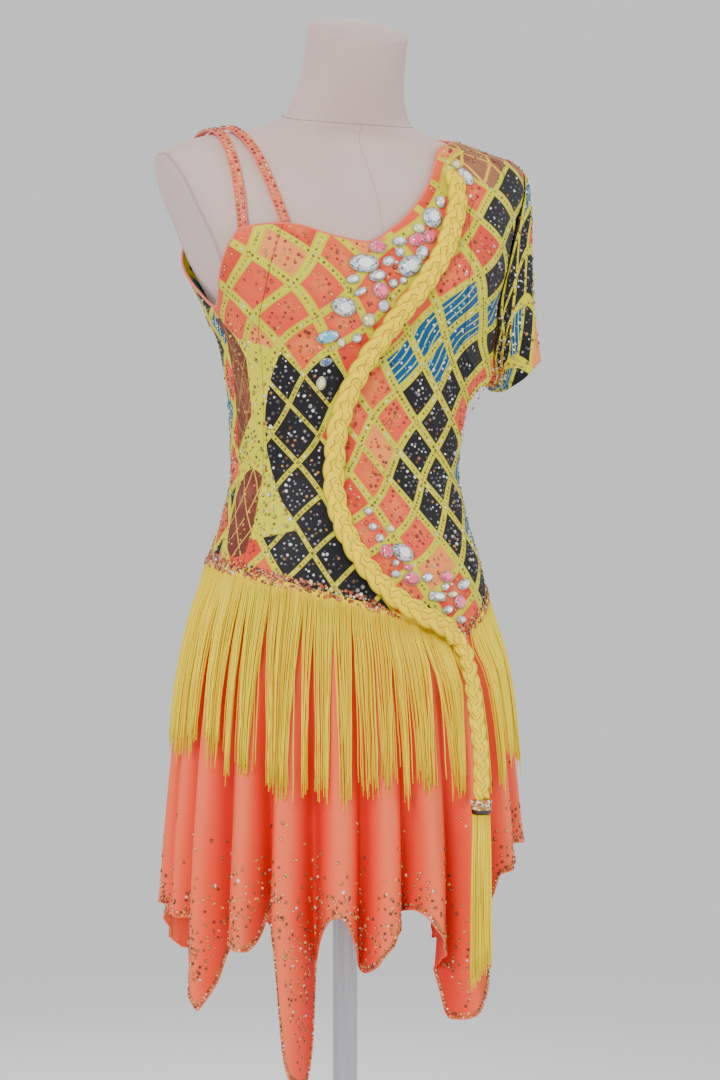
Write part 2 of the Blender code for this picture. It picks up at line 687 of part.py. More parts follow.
def make_strap(name, foot_x, top_x, foot):
    """Flat strap over the right shoulder, from the front neckline to the back one."""
    widths = column(FORM_LEVELS, FORM_COLUMNS, "half_width")
    knots = column(FORM_LEVELS, FORM_COLUMNS, "along")
    over = knots > SHOULDER_TIP
    top = np.interp(top_x, widths[over][::-1], knots[over][::-1])
    walk = np.linspace(-1, 1, STRAP_STEPS)
    along = top - (top - foot) * np.abs(walk) ** 1.8
    share = (top_x + (foot_x - top_x) * walk ** 2) / smooth(along, knots, widths)
    share = np.clip(share, 0, 1)
    ahead = (1 - share ** FORM_SQUARENESS) ** (1 / FORM_SQUARENESS)
    turn = -np.degrees(np.arctan2(share, ahead * -np.sign(walk)))
    points, _, _, normal = form_frame(turn, along)
    forward = unit(np.gradient(points, axis=0))
    side = unit(np.cross(forward, normal)) * STRAP_WIDTH / 2
    low, high = (normal * (FORM_GAP + STRAP_LIFT + lift) for lift in (0.0, STRAP_THICKNESS))
    rings = np.stack((points - side + low, points + side + low,
                      points + side + high, points - side + high), 1)
    add_tube(name, rings, "strap_coral")


# --------------------------------------------------------------------------- skirt and fringe

def envelope(turn, height):
    """Surface that the skirt's crests touch, starting at the bodice's lower edge."""
    knots = column(FLARE, FLARE_COLUMNS, "height")
    width, front, back = (smooth(height, knots, column(FLARE, FLARE_COLUMNS, name))
                          for name in FLARE_COLUMNS[1:])
    x, y = oval(turn, width, front, back, FLARE_SQUARENESS)
    free = np.stack(np.broadcast_arrays(x, y, height), -1)
    line = line_height(turn)
    seam = off_form(turn, line, FORM_GAP + CLOTH)
    share = ease((line - height) / FLARE_BLEND)[..., None]
    joined = seam * (1 - share) + free * share
    joined[..., 2] = free[..., 2]
    return joined


def fold_phase(turn):
    """Phase of the folds, a whole number at each crest, and the valley's depth there."""
    crest = column(CRESTS, CREST_COLUMNS, "turn")
    depth = column(CRESTS, CREST_COLUMNS, "depth")
    crest = np.concatenate((crest[-1:] - 360, crest, crest[:1] + 360))
    depth = np.concatenate((depth[-1:], depth, depth[:1]))
    phase = np.interp(wrapped(turn), crest, np.arange(len(crest)))
    return phase, np.interp(wrapped(turn), crest, depth)


def skirt_point(turn, share):
    """Outer surface of the skirt: crests on the envelope, valleys sunk between them."""
    line = line_height(turn) - SEAM_GAP
    hem = np.interp(wrapped(turn), column(HEM, HEM_COLUMNS, "turn"),
                    column(HEM, HEM_COLUMNS, "height"))
    height = line + (hem - line) * share
    phase, depth = fold_phase(turn)
    growth = np.clip((line - height - FOLD_START) / FOLD_DROP, 0, None) ** FOLD_GROWTH
    lean = FOLD_OVERHANG * np.minimum(growth, 1.0)
    pitch = 360.0 / len(CRESTS)
    shifted = turn + lean * pitch / 2 * np.sin(2 * np.pi * phase) / math.pi
    sunk = depth * growth * (0.5 - 0.5 * np.cos(2 * np.pi * phase)) ** FOLD_SHARPNESS
    crest = envelope(shifted, height)
    inward = np.stack((-np.sin(np.radians(shifted)), np.cos(np.radians(shifted)),
                       np.zeros_like(height)), -1)
    return crest + inward * sunk[..., None]


def skirt_wall(turns, shares):
    """Outer and inner grids of a stretch of the skirt."""
    turn, share = np.meshgrid(turns, shares)
    step_turn, step_share = 0.4, 0.01
    points = skirt_point(turn, share)
    across = skirt_point(turn + step_turn, share) - skirt_point(turn - step_turn, share)
    down = skirt_point(turn, share + step_share) - skirt_point(turn, share - step_share)
    normal = unit(np.cross(down, across))
    return points, points - normal * CLOTH


def make_skirt():
    """Four panels of one flared skirt with deep folds and a pointed hem."""
    shares = np.linspace(0, 1, SKIRT_ROWS + 1) ** SKIRT_TOP_CROWDING
    for name, start, end in SKIRT_PANELS:
        count = round((end - start) / SKIRT_STEP) + 1
        margin = math.degrees(0.75 * SEAM_GAP / FORM_LEVELS[0][3])
        outer, inner = skirt_wall(np.linspace(start + margin, end - margin, count), shares)
        add_wall(name, outer, inner, "skirt_satin")


def fringe_length(turn, number):
    """Length of a lock, uneven from one to the next."""
    around = turn if turn >= -90.0 else turn + 360.0
    length = smooth(around, column(FRINGE_LENGTHS, FRINGE_LENGTH_COLUMNS, "turn"),
                    column(FRINGE_LENGTHS, FRINGE_LENGTH_COLUMNS, "length"))
    return length + FRINGE_UNEVENNESS * math.sin(2.4 * number) * math.cos(0.7 * number)


def lock_centre(turn, height):
    """Centre of a hanging lock, clear of the skirt's crests."""
    at = envelope(np.array(turn), np.array(height))
    outward = np.array((math.sin(math.radians(turn)), -math.cos(math.radians(turn)), 0.0))
    return at + outward * FRINGE_CLEARANCE


def make_fringe(name, start, end, step):
    """Narrow strip of cells with a three-sided lock drawn down from the bottom of each."""
    cells = round((end - start) / step)
    margin = 0.25
    edges = np.linspace(start + margin, end - margin, cells + 1)
    line = line_height(edges)
    near = FORM_GAP + CLOTH + 1.5 * SEAM_GAP
    strip = [off_form(edges, line + lift, np.full_like(edges, near + out))
             for lift in (FRINGE_STRIP_HEIGHT, 0.0)
             for out in (0.0, FRINGE_STRIP_THICKNESS)]
    points = [point for row in strip for point in row]
    count = cells + 1
    top_in, top_out, low_in, low_out = (k * count for k in range(4))
    faces = [(low_in, low_out, top_out, top_in),
             (top_in + cells, top_out + cells, low_out + cells, low_in + cells)]
    for i in range(cells):
        faces.append((low_out + i, low_out + i + 1, top_out + i + 1, top_out + i))
        faces.append((low_in + i + 1, low_in + i, top_in + i, top_in + i + 1))
        faces.append((top_out + i, top_out + i + 1, top_in + i + 1, top_in + i))
        faces.append((low_in + i, low_in + i + 1, low_out + i + 1))
        turn = (edges[i] + edges[i + 1]) / 2
        foot = float(line_height(turn))
        ring = (low_in + i, low_out + i + 1, low_out + i)
        levels = [foot - drop for drop in FRINGE_LEVELS] + [foot - fringe_length(turn, i)]
        for height in levels:
            centre = lock_centre(turn, height)
            first = len(points)
            for corner in (120.0, 0.0, -120.0):
                angle = math.radians(turn + corner)
                points.append(centre + FRINGE_LOCK / 2 * np.array(
                    (math.cos(angle), math.sin(angle), 0.0)))
            lower = (first, first + 1, first + 2)
            faces += [(ring[k], ring[(k + 1) % 3], lower[(k + 1) % 3], lower[k])
                      for k in range(3)]
            ring = lower
        faces.append(ring)
    add_solid(name, np.array(points), faces, "fringe_yellow")


# --------------------------------------------------------------------------- braid and tassel

def curve_through(points, count):
    """Evenly spaced points of a smooth curve through the given ones."""
    points = np.asarray(points, dtype=float)
    walk = np.concatenate(([0], np.cumsum(np.linalg.norm(np.diff(points, axis=0), axis=1))))
    fine = np.linspace(0, walk[-1], 12 * count)
    curve = np.stack([smooth(fine, walk, points[:, k]) for k in range(points.shape[1])], -1)
    way = np.concatenate(([0], np.cumsum(np.linalg.norm(np.diff(curve, axis=0), axis=1))))
    even = np.linspace(0, way[-1], count)
    return np.stack([np.interp(even, way, curve[:, k]) for k in range(points.shape[1])], -1)


def braid_line(count):
    """Centre line of the sewn braid with its side and outward directions."""
    route = np.stack((column(BRAID_ROUTE, BRAID_COLUMNS, "turn"),
                      column(BRAID_ROUTE, BRAID_COLUMNS, "along")), -1)
    scale = np.array((0.0022, 1.0))
    places = curve_through(route * scale, count) / scale
    points, _, _, normal = form_frame(places[:, 0], places[:, 1])
    low = ease((BRAID_LIFT_FROM - places[:, 1]) / BRAID_LIFT)
    seat = BRAID_SEAT + (BRAID_SEAT_AT_END - BRAID_SEAT) * low
    cloth = cloth_gap(places[:, 0], places[:, 1]) + CLOTH
    centre = points + normal * (cloth + seat + BRAID_HALF_THICKNESS)[:, None]
    ahead = unit(np.gradient(centre, axis=0))
    side = unit(np.cross(normal, ahead))
    return centre, side, unit(np.cross(ahead, side))


def make_braid():
    """Plaited braid with the lobes of its strands raised along both edges."""
    centre, side, out = braid_line(BRAID_STATIONS)
    way = np.concatenate(([0], np.cumsum(np.linalg.norm(np.diff(centre, axis=0), axis=1))))
    angle = 2 * np.pi * np.arange(BRAID_SIDES) / BRAID_SIDES + np.pi / BRAID_SIDES
    beat = np.pi * way / BRAID_PITCH
    lobes = {1: np.abs(np.sin(beat)), -1: np.abs(np.cos(beat))}
    rings = []
    for k in range(BRAID_STATIONS):
        ring = []
        for a in angle:
            swell = 1 - BRAID_LOBE + BRAID_LOBE * lobes[1 if math.cos(a) > 0 else -1][k]
            ring.append(centre[k] + side[k] * BRAID_HALF_WIDTH * swell * math.cos(a)
                        + out[k] * BRAID_HALF_THICKNESS * math.sin(a))
        rings.append(ring)
    add_tube("braid_sewn", np.array(rings), "braid_yellow")


def drop_line():
    """Centre line of the braid's free end, which leads on from the sewn part and hangs free."""
    centre, side, out = braid_line(BRAID_STATIONS)
    ahead = unit(np.cross(side[-1], out[-1]))
    start = centre[-1] + ahead * SEAM_GAP
    points = [start + ahead * DROP_LEAD]
    route = (column(DROP_ROUTE, DROP_COLUMNS, name) for name in DROP_COLUMNS)
    for turn, height, clearance in zip(*route):
        at = envelope(np.array(turn), np.array(height))
        outward = np.array((math.sin(math.radians(turn)), -math.cos(math.radians(turn)), 0.0))
        points.append(at + outward * clearance)
    points[-1][:2] = points[-2][:2]
    return np.concatenate((start[None], curve_through(points, DROP_POINTS)))


def make_drop():
    """Plain tube for the hanging end of the braid."""
    path = drop_line()
    curve = bpy.data.curves.new("braid_drop", "CURVE")
    curve.dimensions = "3D"
    curve.bevel_depth = DROP_DIAMETER / 2
    curve.bevel_resolution = 3
    curve.use_fill_caps = True
    spline = curve.splines.new("POLY")
    spline.points.add(len(path) - 1)
    for point, at in zip(spline.points, path):
        point.co = (*map(float, at), 1.0)
    curve.materials.append(finish("braid_yellow"))
    bpy.context.collection.objects.link(bpy.data.objects.new("braid_drop", curve))


def make_tassel():
    """Stone-ringed cap under the braid and a head with hanging strands."""
    end = drop_line()[-1]
    top = end - np.array((0.0, 0.0, SEAM_GAP))
    profile = ((0.0, 0.80), (0.25, 1.0), (0.75, 1.0), (1.0, 0.88))
    angle = 2 * np.pi * np.arange(12) / 12
    rings = [[top + (radius * TASSEL_CAP_RADIUS * math.cos(a),
                     radius * TASSEL_CAP_RADIUS * math.sin(a),
                     -share * TASSEL_CAP_HEIGHT) for a in angle] for share, radius in profile]
    add_tube("tassel_cap", np.array(rings), "stone_glass")
    make_tassel_strands(top - np.array((0.0, 0.0, TASSEL_CAP_HEIGHT + SEAM_GAP)))


def disc(u, v):
    """A square's point moved into the round disc of radius 1."""
    return np.array((u * math.sqrt(1 - v * v / 2), v * math.sqrt(1 - u * u / 2), 0.0))


def make_tassel_strands(top):
    """Round head of small cells, each drawn down into a four-sided strand."""
    count = TASSEL_CELLS + 1
    marks = np.linspace(-1, 1, count)
    head = np.array([disc(u, v) for v in marks for u in marks]) * TASSEL_HEAD_RADIUS
    drop = np.array((0.0, 0.0, TASSEL_HEAD_HEIGHT))
    points = [top + at for at in head] + [top + at - drop for at in head]
    low = count * count
    faces = grid_faces(count, count, False)
    border = ([i for i in range(count)] + [count - 1 + j * count for j in range(1, count)]
              + [low - 1 - i for i in range(1, count)]
              + [low - count - j * count for j in range(1, count - 1)])
    faces += [(border[(k + 1) % len(border)], border[k], low + border[k],
               low + border[(k + 1) % len(border)]) for k in range(len(border))]
    for number, cell in enumerate(grid_faces(count, count, False, low)):
        corners = np.array([points[c] for c in cell])
        middle = corners.mean(axis=0)
        aside = middle - (top - drop)
        sway = 0.007 * math.sin(2.1 * number)
        length = TASSEL_LENGTH + sway - TASSEL_SLANT * aside[0] / TASSEL_HEAD_RADIUS
        ring = list(cell)
        for fall, spread, thick in ((0.0, 1.0, 0.72), (0.4, 1.16, 0.62),
                                    (1.0, TASSEL_SPREAD, 0.5)):
            first = len(points)
            away = aside * (spread - 1.0) * (1, 1, 0) - np.array((0, 0, fall * length))
            points += [middle + (c - middle) * thick + away for c in corners]
            faces += [(ring[(k + 1) % 4], ring[k], first + k, first + (k + 1) % 4)
                      for k in range(4)]
            ring = [first + k for k in range(4)]
        faces.append(tuple(reversed(ring)))
    add_solid("tassel_strands", np.array(points), faces, "fringe_yellow")


# --------------------------------------------------------------------------- stones

def make_stone(name, turn, along, length, width, tilt):
    """Cut stone: a foot that follows the cloth, slanted facets above and below and a flat table."""
    at, across, up, normal = form_frame(turn, along)
    at = at + normal * (cloth_gap(turn, along) + CLOTH + STONE_SEAT)
    long_way = across * math.cos(math.radians(tilt)) + up * math.sin(math.radians(tilt))
    short_way = np.cross(normal, long_way)
    angle = 2 * np.pi * (np.arange(STONE_SIDES) + 0.5) / STONE_SIDES
    long_part, short_part = length / 2 * np.cos(angle), width / 2 * np.sin(angle)

    near_turn, near_along = 1.0, 0.003
    per_turn = np.linalg.norm(form_point(turn + near_turn, along)
                              - form_point(turn - near_turn, along)) / (2 * near_turn)
    per_along = np.linalg.norm(form_point(turn, along + near_along)
                               - form_point(turn, along - near_along)) / (2 * near_along)
    lean = math.radians(tilt)
    sideways = long_part * math.cos(lean) - short_part * math.sin(lean)
    upwards = long_part * math.sin(lean) + short_part * math.cos(lean)
    foot_turn = turn + STONE_FOOT * sideways / per_turn
    foot_along = along + STONE_FOOT * upwards / per_along
    rings = [off_form(foot_turn, foot_along, cloth_gap(foot_turn, foot_along) + CLOTH + STONE_SEAT)]
    for lift, size in ((STONE_GIRDLE, 1.0), (1.0, STONE_TABLE)):
        rings.append(at + size * (long_part[:, None] * long_way + short_part[:, None] * short_way)
                     + normal * lift * STONE_HEIGHT)
    add_tube(name, np.array(rings), "stone_glass")


def main():
    """Build every piece of the dress, its trim and the form."""
    for leftover in list(bpy.data.objects):
        bpy.data.objects.remove(leftover, do_unlink=True)
    make_form()
    make_stand()
    make_bodice()
    make_sleeve()
    for strap in STRAPS:
        make_strap(*strap)
    make_skirt()
    for row in FRINGE_ROWS:
        make_fringe(*row)
    make_braid()
    make_drop()
    make_tassel()
    for number, stone in enumerate(STONES, start=1):
        make_stone(f"stone_{number:02d}", **dict(zip(STONE_COLUMNS, stone)))


main()
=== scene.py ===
import json
import math
import bpy
import numpy as np
from mathutils import Vector
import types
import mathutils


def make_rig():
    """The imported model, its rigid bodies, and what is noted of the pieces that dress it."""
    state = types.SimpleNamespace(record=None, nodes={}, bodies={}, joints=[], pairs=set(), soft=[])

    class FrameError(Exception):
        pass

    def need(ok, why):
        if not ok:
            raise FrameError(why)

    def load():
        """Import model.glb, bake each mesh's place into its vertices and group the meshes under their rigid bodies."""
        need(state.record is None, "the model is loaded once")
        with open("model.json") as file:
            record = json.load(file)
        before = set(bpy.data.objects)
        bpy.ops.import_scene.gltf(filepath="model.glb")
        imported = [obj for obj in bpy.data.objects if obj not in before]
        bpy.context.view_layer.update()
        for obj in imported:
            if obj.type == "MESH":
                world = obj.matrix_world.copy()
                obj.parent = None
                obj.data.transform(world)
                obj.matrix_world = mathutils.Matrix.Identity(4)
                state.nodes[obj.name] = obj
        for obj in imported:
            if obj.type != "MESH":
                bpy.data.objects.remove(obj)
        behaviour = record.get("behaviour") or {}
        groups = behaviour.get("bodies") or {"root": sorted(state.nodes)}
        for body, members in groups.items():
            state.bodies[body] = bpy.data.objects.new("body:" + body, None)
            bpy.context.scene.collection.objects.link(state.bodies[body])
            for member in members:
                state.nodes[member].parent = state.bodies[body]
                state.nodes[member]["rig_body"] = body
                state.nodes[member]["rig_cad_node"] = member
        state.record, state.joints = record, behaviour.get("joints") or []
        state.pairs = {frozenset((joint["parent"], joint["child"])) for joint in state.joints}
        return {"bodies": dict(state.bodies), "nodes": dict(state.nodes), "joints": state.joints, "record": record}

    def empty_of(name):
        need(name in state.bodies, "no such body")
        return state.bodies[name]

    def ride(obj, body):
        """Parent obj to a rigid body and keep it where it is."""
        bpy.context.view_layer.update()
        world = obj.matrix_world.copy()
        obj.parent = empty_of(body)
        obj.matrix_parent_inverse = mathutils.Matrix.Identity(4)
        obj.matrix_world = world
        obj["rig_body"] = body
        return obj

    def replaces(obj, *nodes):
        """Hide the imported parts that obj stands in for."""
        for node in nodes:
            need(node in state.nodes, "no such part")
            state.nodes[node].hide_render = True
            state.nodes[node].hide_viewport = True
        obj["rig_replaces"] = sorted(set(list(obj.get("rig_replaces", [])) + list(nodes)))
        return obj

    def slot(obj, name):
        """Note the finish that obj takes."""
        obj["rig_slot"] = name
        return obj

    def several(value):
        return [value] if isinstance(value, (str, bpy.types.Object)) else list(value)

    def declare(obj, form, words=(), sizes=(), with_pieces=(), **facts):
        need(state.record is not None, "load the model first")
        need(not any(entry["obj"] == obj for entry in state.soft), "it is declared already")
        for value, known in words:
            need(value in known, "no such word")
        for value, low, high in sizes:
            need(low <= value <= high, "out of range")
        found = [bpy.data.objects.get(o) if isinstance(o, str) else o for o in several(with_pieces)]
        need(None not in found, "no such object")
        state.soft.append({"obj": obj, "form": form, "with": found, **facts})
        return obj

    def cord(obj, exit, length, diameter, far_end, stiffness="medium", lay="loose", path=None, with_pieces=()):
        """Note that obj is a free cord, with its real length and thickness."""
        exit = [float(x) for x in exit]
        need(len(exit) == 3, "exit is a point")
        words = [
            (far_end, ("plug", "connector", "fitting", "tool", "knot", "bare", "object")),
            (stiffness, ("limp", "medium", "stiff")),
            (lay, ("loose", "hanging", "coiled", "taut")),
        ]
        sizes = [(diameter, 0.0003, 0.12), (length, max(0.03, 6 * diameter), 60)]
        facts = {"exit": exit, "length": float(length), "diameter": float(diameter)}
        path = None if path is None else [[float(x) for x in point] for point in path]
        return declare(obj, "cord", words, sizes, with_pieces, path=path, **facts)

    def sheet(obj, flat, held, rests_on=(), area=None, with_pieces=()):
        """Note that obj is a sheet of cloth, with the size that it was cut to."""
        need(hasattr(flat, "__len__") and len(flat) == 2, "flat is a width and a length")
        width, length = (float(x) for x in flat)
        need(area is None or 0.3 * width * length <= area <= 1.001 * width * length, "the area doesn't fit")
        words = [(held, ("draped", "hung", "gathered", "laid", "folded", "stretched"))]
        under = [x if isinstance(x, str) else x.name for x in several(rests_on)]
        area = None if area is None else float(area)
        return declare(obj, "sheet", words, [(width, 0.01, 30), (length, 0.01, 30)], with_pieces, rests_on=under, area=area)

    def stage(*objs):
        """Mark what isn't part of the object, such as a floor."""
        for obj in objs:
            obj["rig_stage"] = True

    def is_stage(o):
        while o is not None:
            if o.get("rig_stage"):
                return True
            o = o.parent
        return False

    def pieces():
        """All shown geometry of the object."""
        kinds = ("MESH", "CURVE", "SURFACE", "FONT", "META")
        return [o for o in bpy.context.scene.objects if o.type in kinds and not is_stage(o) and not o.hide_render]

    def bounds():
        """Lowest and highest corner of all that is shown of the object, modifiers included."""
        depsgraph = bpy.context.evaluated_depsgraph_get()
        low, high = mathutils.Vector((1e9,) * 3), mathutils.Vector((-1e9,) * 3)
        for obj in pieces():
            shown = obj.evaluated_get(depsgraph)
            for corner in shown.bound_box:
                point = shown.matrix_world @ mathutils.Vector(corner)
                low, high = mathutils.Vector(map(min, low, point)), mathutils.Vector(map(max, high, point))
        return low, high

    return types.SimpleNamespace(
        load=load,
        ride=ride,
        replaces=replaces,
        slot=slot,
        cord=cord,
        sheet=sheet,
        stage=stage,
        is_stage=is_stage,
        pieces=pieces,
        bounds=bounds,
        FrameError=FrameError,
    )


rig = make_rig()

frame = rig.load()
CAD_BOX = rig.bounds()

# Asymmetric salsa dance dress on a limbless dress form.
#
# Metres, +Z up, the dress faces -Y and its wearer's left is +X.  What is worn is placed on the
# form by its turn round the body (0 at the centre front, +90 at the wearer's left) and its way
# along it (the height up to the shoulder tip, then on over the shoulder to the neck).

# ------------------------ sizes of the garment and form

# thickness of a solid's cloth, its clearance from the form, the gap at a seam, thickness of a shell
CLOTH, FORM_GAP, SEAM_GAP, SHELL = 0.0014, 0.0032, 0.0003, 0.0010

FORM_LEVELS = np.array((
    # along, height, half width, front, back, centre y
    (0.775, 0.775, 0.150, 0.104, 0.116, 0.000),
    (0.820, 0.820, 0.157, 0.109, 0.124, 0.000),
    (0.860, 0.860, 0.156, 0.110, 0.122, 0.000),
    (0.907, 0.907, 0.148, 0.105, 0.112, 0.000),
    (0.960, 0.960, 0.132, 0.095, 0.096, 0.000),
    (1.017, 1.017, 0.122, 0.088, 0.086, 0.000),
    (1.080, 1.080, 0.125, 0.092, 0.089, 0.000),
    (1.140, 1.140, 0.133, 0.100, 0.095, 0.001),
    (1.190, 1.190, 0.149, 0.107, 0.100, 0.003),
    (1.240, 1.240, 0.178, 0.109, 0.103, 0.007),
    (1.290, 1.290, 0.200, 0.099, 0.101, 0.011),
    (1.330, 1.330, 0.217, 0.080, 0.088, 0.014),
    (1.345, 1.345, 0.217, 0.069, 0.077, 0.015),
    (1.361, 1.355, 0.206, 0.060, 0.067, 0.015),
    (1.377, 1.362, 0.191, 0.056, 0.061, 0.015),
    (1.396, 1.368, 0.172, 0.053, 0.057, 0.015),
    (1.417, 1.373, 0.152, 0.051, 0.054, 0.014),
    (1.447, 1.378, 0.122, 0.050, 0.052, 0.012),
    (1.472, 1.385, 0.098, 0.050, 0.051, 0.008),
    (1.494, 1.395, 0.077, 0.051, 0.051, 0.002),
    (1.512, 1.410, 0.067, 0.052, 0.051, -0.006),
    (1.533, 1.430, 0.060, 0.053, 0.051, -0.014),
    (1.563, 1.460, 0.056, 0.052, 0.051, -0.025),
    (1.593, 1.490, 0.055, 0.051, 0.050, -0.034),
))
PLATE_X, PLATE_LEVEL, PLATE_EDGE = 0.149, 1.190, 0.005
PLATE_LEAN_UP, PLATE_LEAN_DOWN = 0.067 / 0.160, 0.35
BUST_TURN, BUST_LEVEL, BUST_SWELL = 34.0, 1.212, 0.17
NECK_LEAN = 0.42
FORM_FOOT, NECK_TOP = 0.775, 1.593
LINE = np.array((
    # turn, height of the bodice's lower edge
    (-180.0, 0.902), (-140.0, 0.908), (-106.0, 0.906), (-58.0, 0.892), (-25.0, 0.872),
    (4.0, 0.850), (31.0, 0.828), (45.0, 0.844), (60.0, 0.866), (78.0, 0.880),
    (100.0, 0.890), (140.0, 0.898), (180.0, 0.902),
))
UNDERARM_SHARE, SHOULDER_SHARE = 0.60, 0.88
NECKLINE = np.array((
    # share, turn, along
    (0.00, -49.5, 1.262), (0.14, -34.0, 1.267), (0.32, -18.0, 1.254), (0.42, -8.0, 1.250),
    (0.54, 3.5, 1.268), (0.65, 13.0, 1.298), (0.75, 20.0, 1.334), (0.84, 28.0, 1.375),
    (0.92, 48.0, 1.418), (1.00, 90.0, 1.452),
))
RIGHT_ARMHOLE = np.array((
    # share, turn, along
    (UNDERARM_SHARE, -90.0, 1.185), (0.74, -80.0, 1.199), (0.87, -66.0, 1.225),
    (1.00, -49.5, 1.262),
))
LEFT_ARMHOLE = np.array((
    # share, turn, along
    (UNDERARM_SHARE, 90.0, 1.116), (0.635, 77.5, 1.138), (0.685, 67.0, 1.184),
    (0.740, 61.5, 1.242), (0.795, 62.0, 1.302), (0.840, 70.0, 1.341),
    (SHOULDER_SHARE, 90.0, 1.366), (0.940, 90.0, 1.409), (1.000, 90.0, 1.452),
))
RIGHT_PANEL_SHARE, LEFT_PANEL_SHARE = 0.14, 0.91
SEAM_TURN, SEAM_SHARE = 0.2, 0.0007

SIDE_DRAPE = 0.042
SIDE_DRAPE_FROM, SIDE_DRAPE_FULL, SIDE_DRAPE_TO = 1.000, 1.122, 1.290
SIDE_DRAPE_TURN = 52.0
SLEEVE_CLEAR = 0.0021
SLEEVE_HEM_X, SLEEVE_HEM_Y = 0.2090, 0.000
SLEEVE_HEM_HALF_X, SLEEVE_HEM_HALF_Y = 0.018, 0.054
SLEEVE_HEM_HEIGHT, SLEEVE_HEM_DIP = 1.142, 0.040
SLEEVE_STAND_OUT, SLEEVE_SLOPE = 0.020, 0.05
SLEEVE_FOLDS, SLEEVE_FOLD_DEPTH = 5, 0.0020

STRAP_WIDTH, STRAP_THICKNESS = 0.0115, 0.0022
# name, x of the feet, x over the shoulder, way along of the feet
STRAPS = (("strap_outer", 0.1490, 0.1555, 1.2631), ("strap_inner", 0.1100, 0.1410, 1.2688))

FLARE = np.array((
    # height, half width, front, back
    (0.340, 0.210, 0.170, 0.180), (0.540, 0.204, 0.163, 0.174), (0.604, 0.200, 0.160, 0.169),
    (0.648, 0.196, 0.156, 0.166), (0.692, 0.192, 0.151, 0.162), (0.736, 0.187, 0.145, 0.157),
    (0.780, 0.181, 0.137, 0.151), (0.825, 0.172, 0.127, 0.142), (0.870, 0.162, 0.117, 0.132),
    (0.912, 0.153, 0.110, 0.119),
))
FOLD_START, FOLD_REACH, FOLD_LEAN = 0.014, 0.345, 0.22
RIPPLE, HEM_CURL = 0.0016, 0.0018
SKIRT_RADIUS = 0.27
CRESTS = np.array((
    # turn, depth of the valley beside it
    (-171.0, 0.036), (-150.0, 0.040), (-128.0, 0.036), (-107.0, 0.030), (-90.0, 0.034),
    (-75.0, 0.040), (-54.0, 0.043), (-40.0, 0.046), (-21.0, 0.040), (-6.0, 0.037),
    (10.0, 0.042), (28.0, 0.044), (45.0, 0.040), (66.0, 0.035), (90.0, 0.032), (111.0, 0.038),
    (131.0, 0.041), (153.0, 0.038), (172.0, 0.036),
))
HEM = np.array((
    # turn, height
    (-180.0, 0.452), (-163.0, 0.548), (-150.0, 0.556), (-134.0, 0.480), (-120.0, 0.548),
    (-104.0, 0.541), (-84.0, 0.530), (-78.0, 0.514), (-75.0, 0.462), (-72.0, 0.440), (-69.0, 0.474),
    (-65.0, 0.518), (-52.0, 0.506), (-46.0, 0.560), (-41.5, 0.516), (-39.5, 0.440), (-37.2, 0.374),
    (-34.5, 0.364), (-32.0, 0.400), (-30.0, 0.490), (-22.0, 0.543), (-12.0, 0.480), (-4.0, 0.520),
    (5.0, 0.545), (13.0, 0.500), (19.0, 0.474), (22.2, 0.424), (25.5, 0.428), (28.5, 0.480),
    (35.0, 0.470), (42.0, 0.575), (64.0, 0.602), (92.0, 0.596), (120.0, 0.480), (134.0, 0.560),
    (146.0, 0.540), (158.0, 0.560), (180.0, 0.452),
))
# name, start and end turn
SKIRT_PANELS = (("skirt_front", -90.0, 45.0), ("skirt_left", 45.0, 131.0),
                ("skirt_back", 131.0, 210.0), ("skirt_right", 210.0, 270.0))

FRINGE_ROWS = (("fringe_front", -90.0, 33.0), ("fringe_left", 38.0, 90.0),
               ("fringe_back", 90.0, 270.0))
FRINGE_LENGTHS = np.array((
    # turn, length of the threads
    (-90.0, 0.185), (-60.0, 0.188), (-40.0, 0.198), (-28.0, 0.206), (-15.0, 0.188),
    (10.0, 0.168), (45.0, 0.155), (90.0, 0.165), (180.0, 0.180), (270.0, 0.185),
))

BRAID_ROUTE = np.array((
    # turn, along
    (25.0, 1.328), (25.5, 1.300), (21.5, 1.254), (13.5, 1.208), (2.5, 1.170), (-10.5, 1.128),
    (-19.5, 1.084), (-24.0, 1.042), (-25.0, 0.998), (-21.5, 0.956), (-12.5, 0.912),
    (-0.5, 0.877), (14.0, 0.853), (22.0, 0.842), (26.0, 0.832),
))
BRAID_HALF_WIDTH, BRAID_HALF_THICKNESS = 0.0125, 0.0065
BRAID_SEAT, BRAID_SEAT_AT_END = 0.0008, 0.0052
DROP_DIAMETER, DROP_LEAD = 0.018, 0.003
# turn, height, clearance
DROP_ROUTE = ((28.0, 0.812, 0.0155), (25.5, 0.795, 0.0180), (23.0, 0.768, 0.0225),
              (21.5, 0.735, 0.0275), (20.5, 0.700, 0.0315), (20.5, 0.662, 0.0320))
TASSEL_CAP_HEIGHT, TASSEL_CAP_RADIUS = 0.016, 0.0110
TASSEL_LENGTH, TASSEL_RADIUS, TASSEL_SLANT = 0.155, 0.0093, 0.016

# ------------------------ small tools


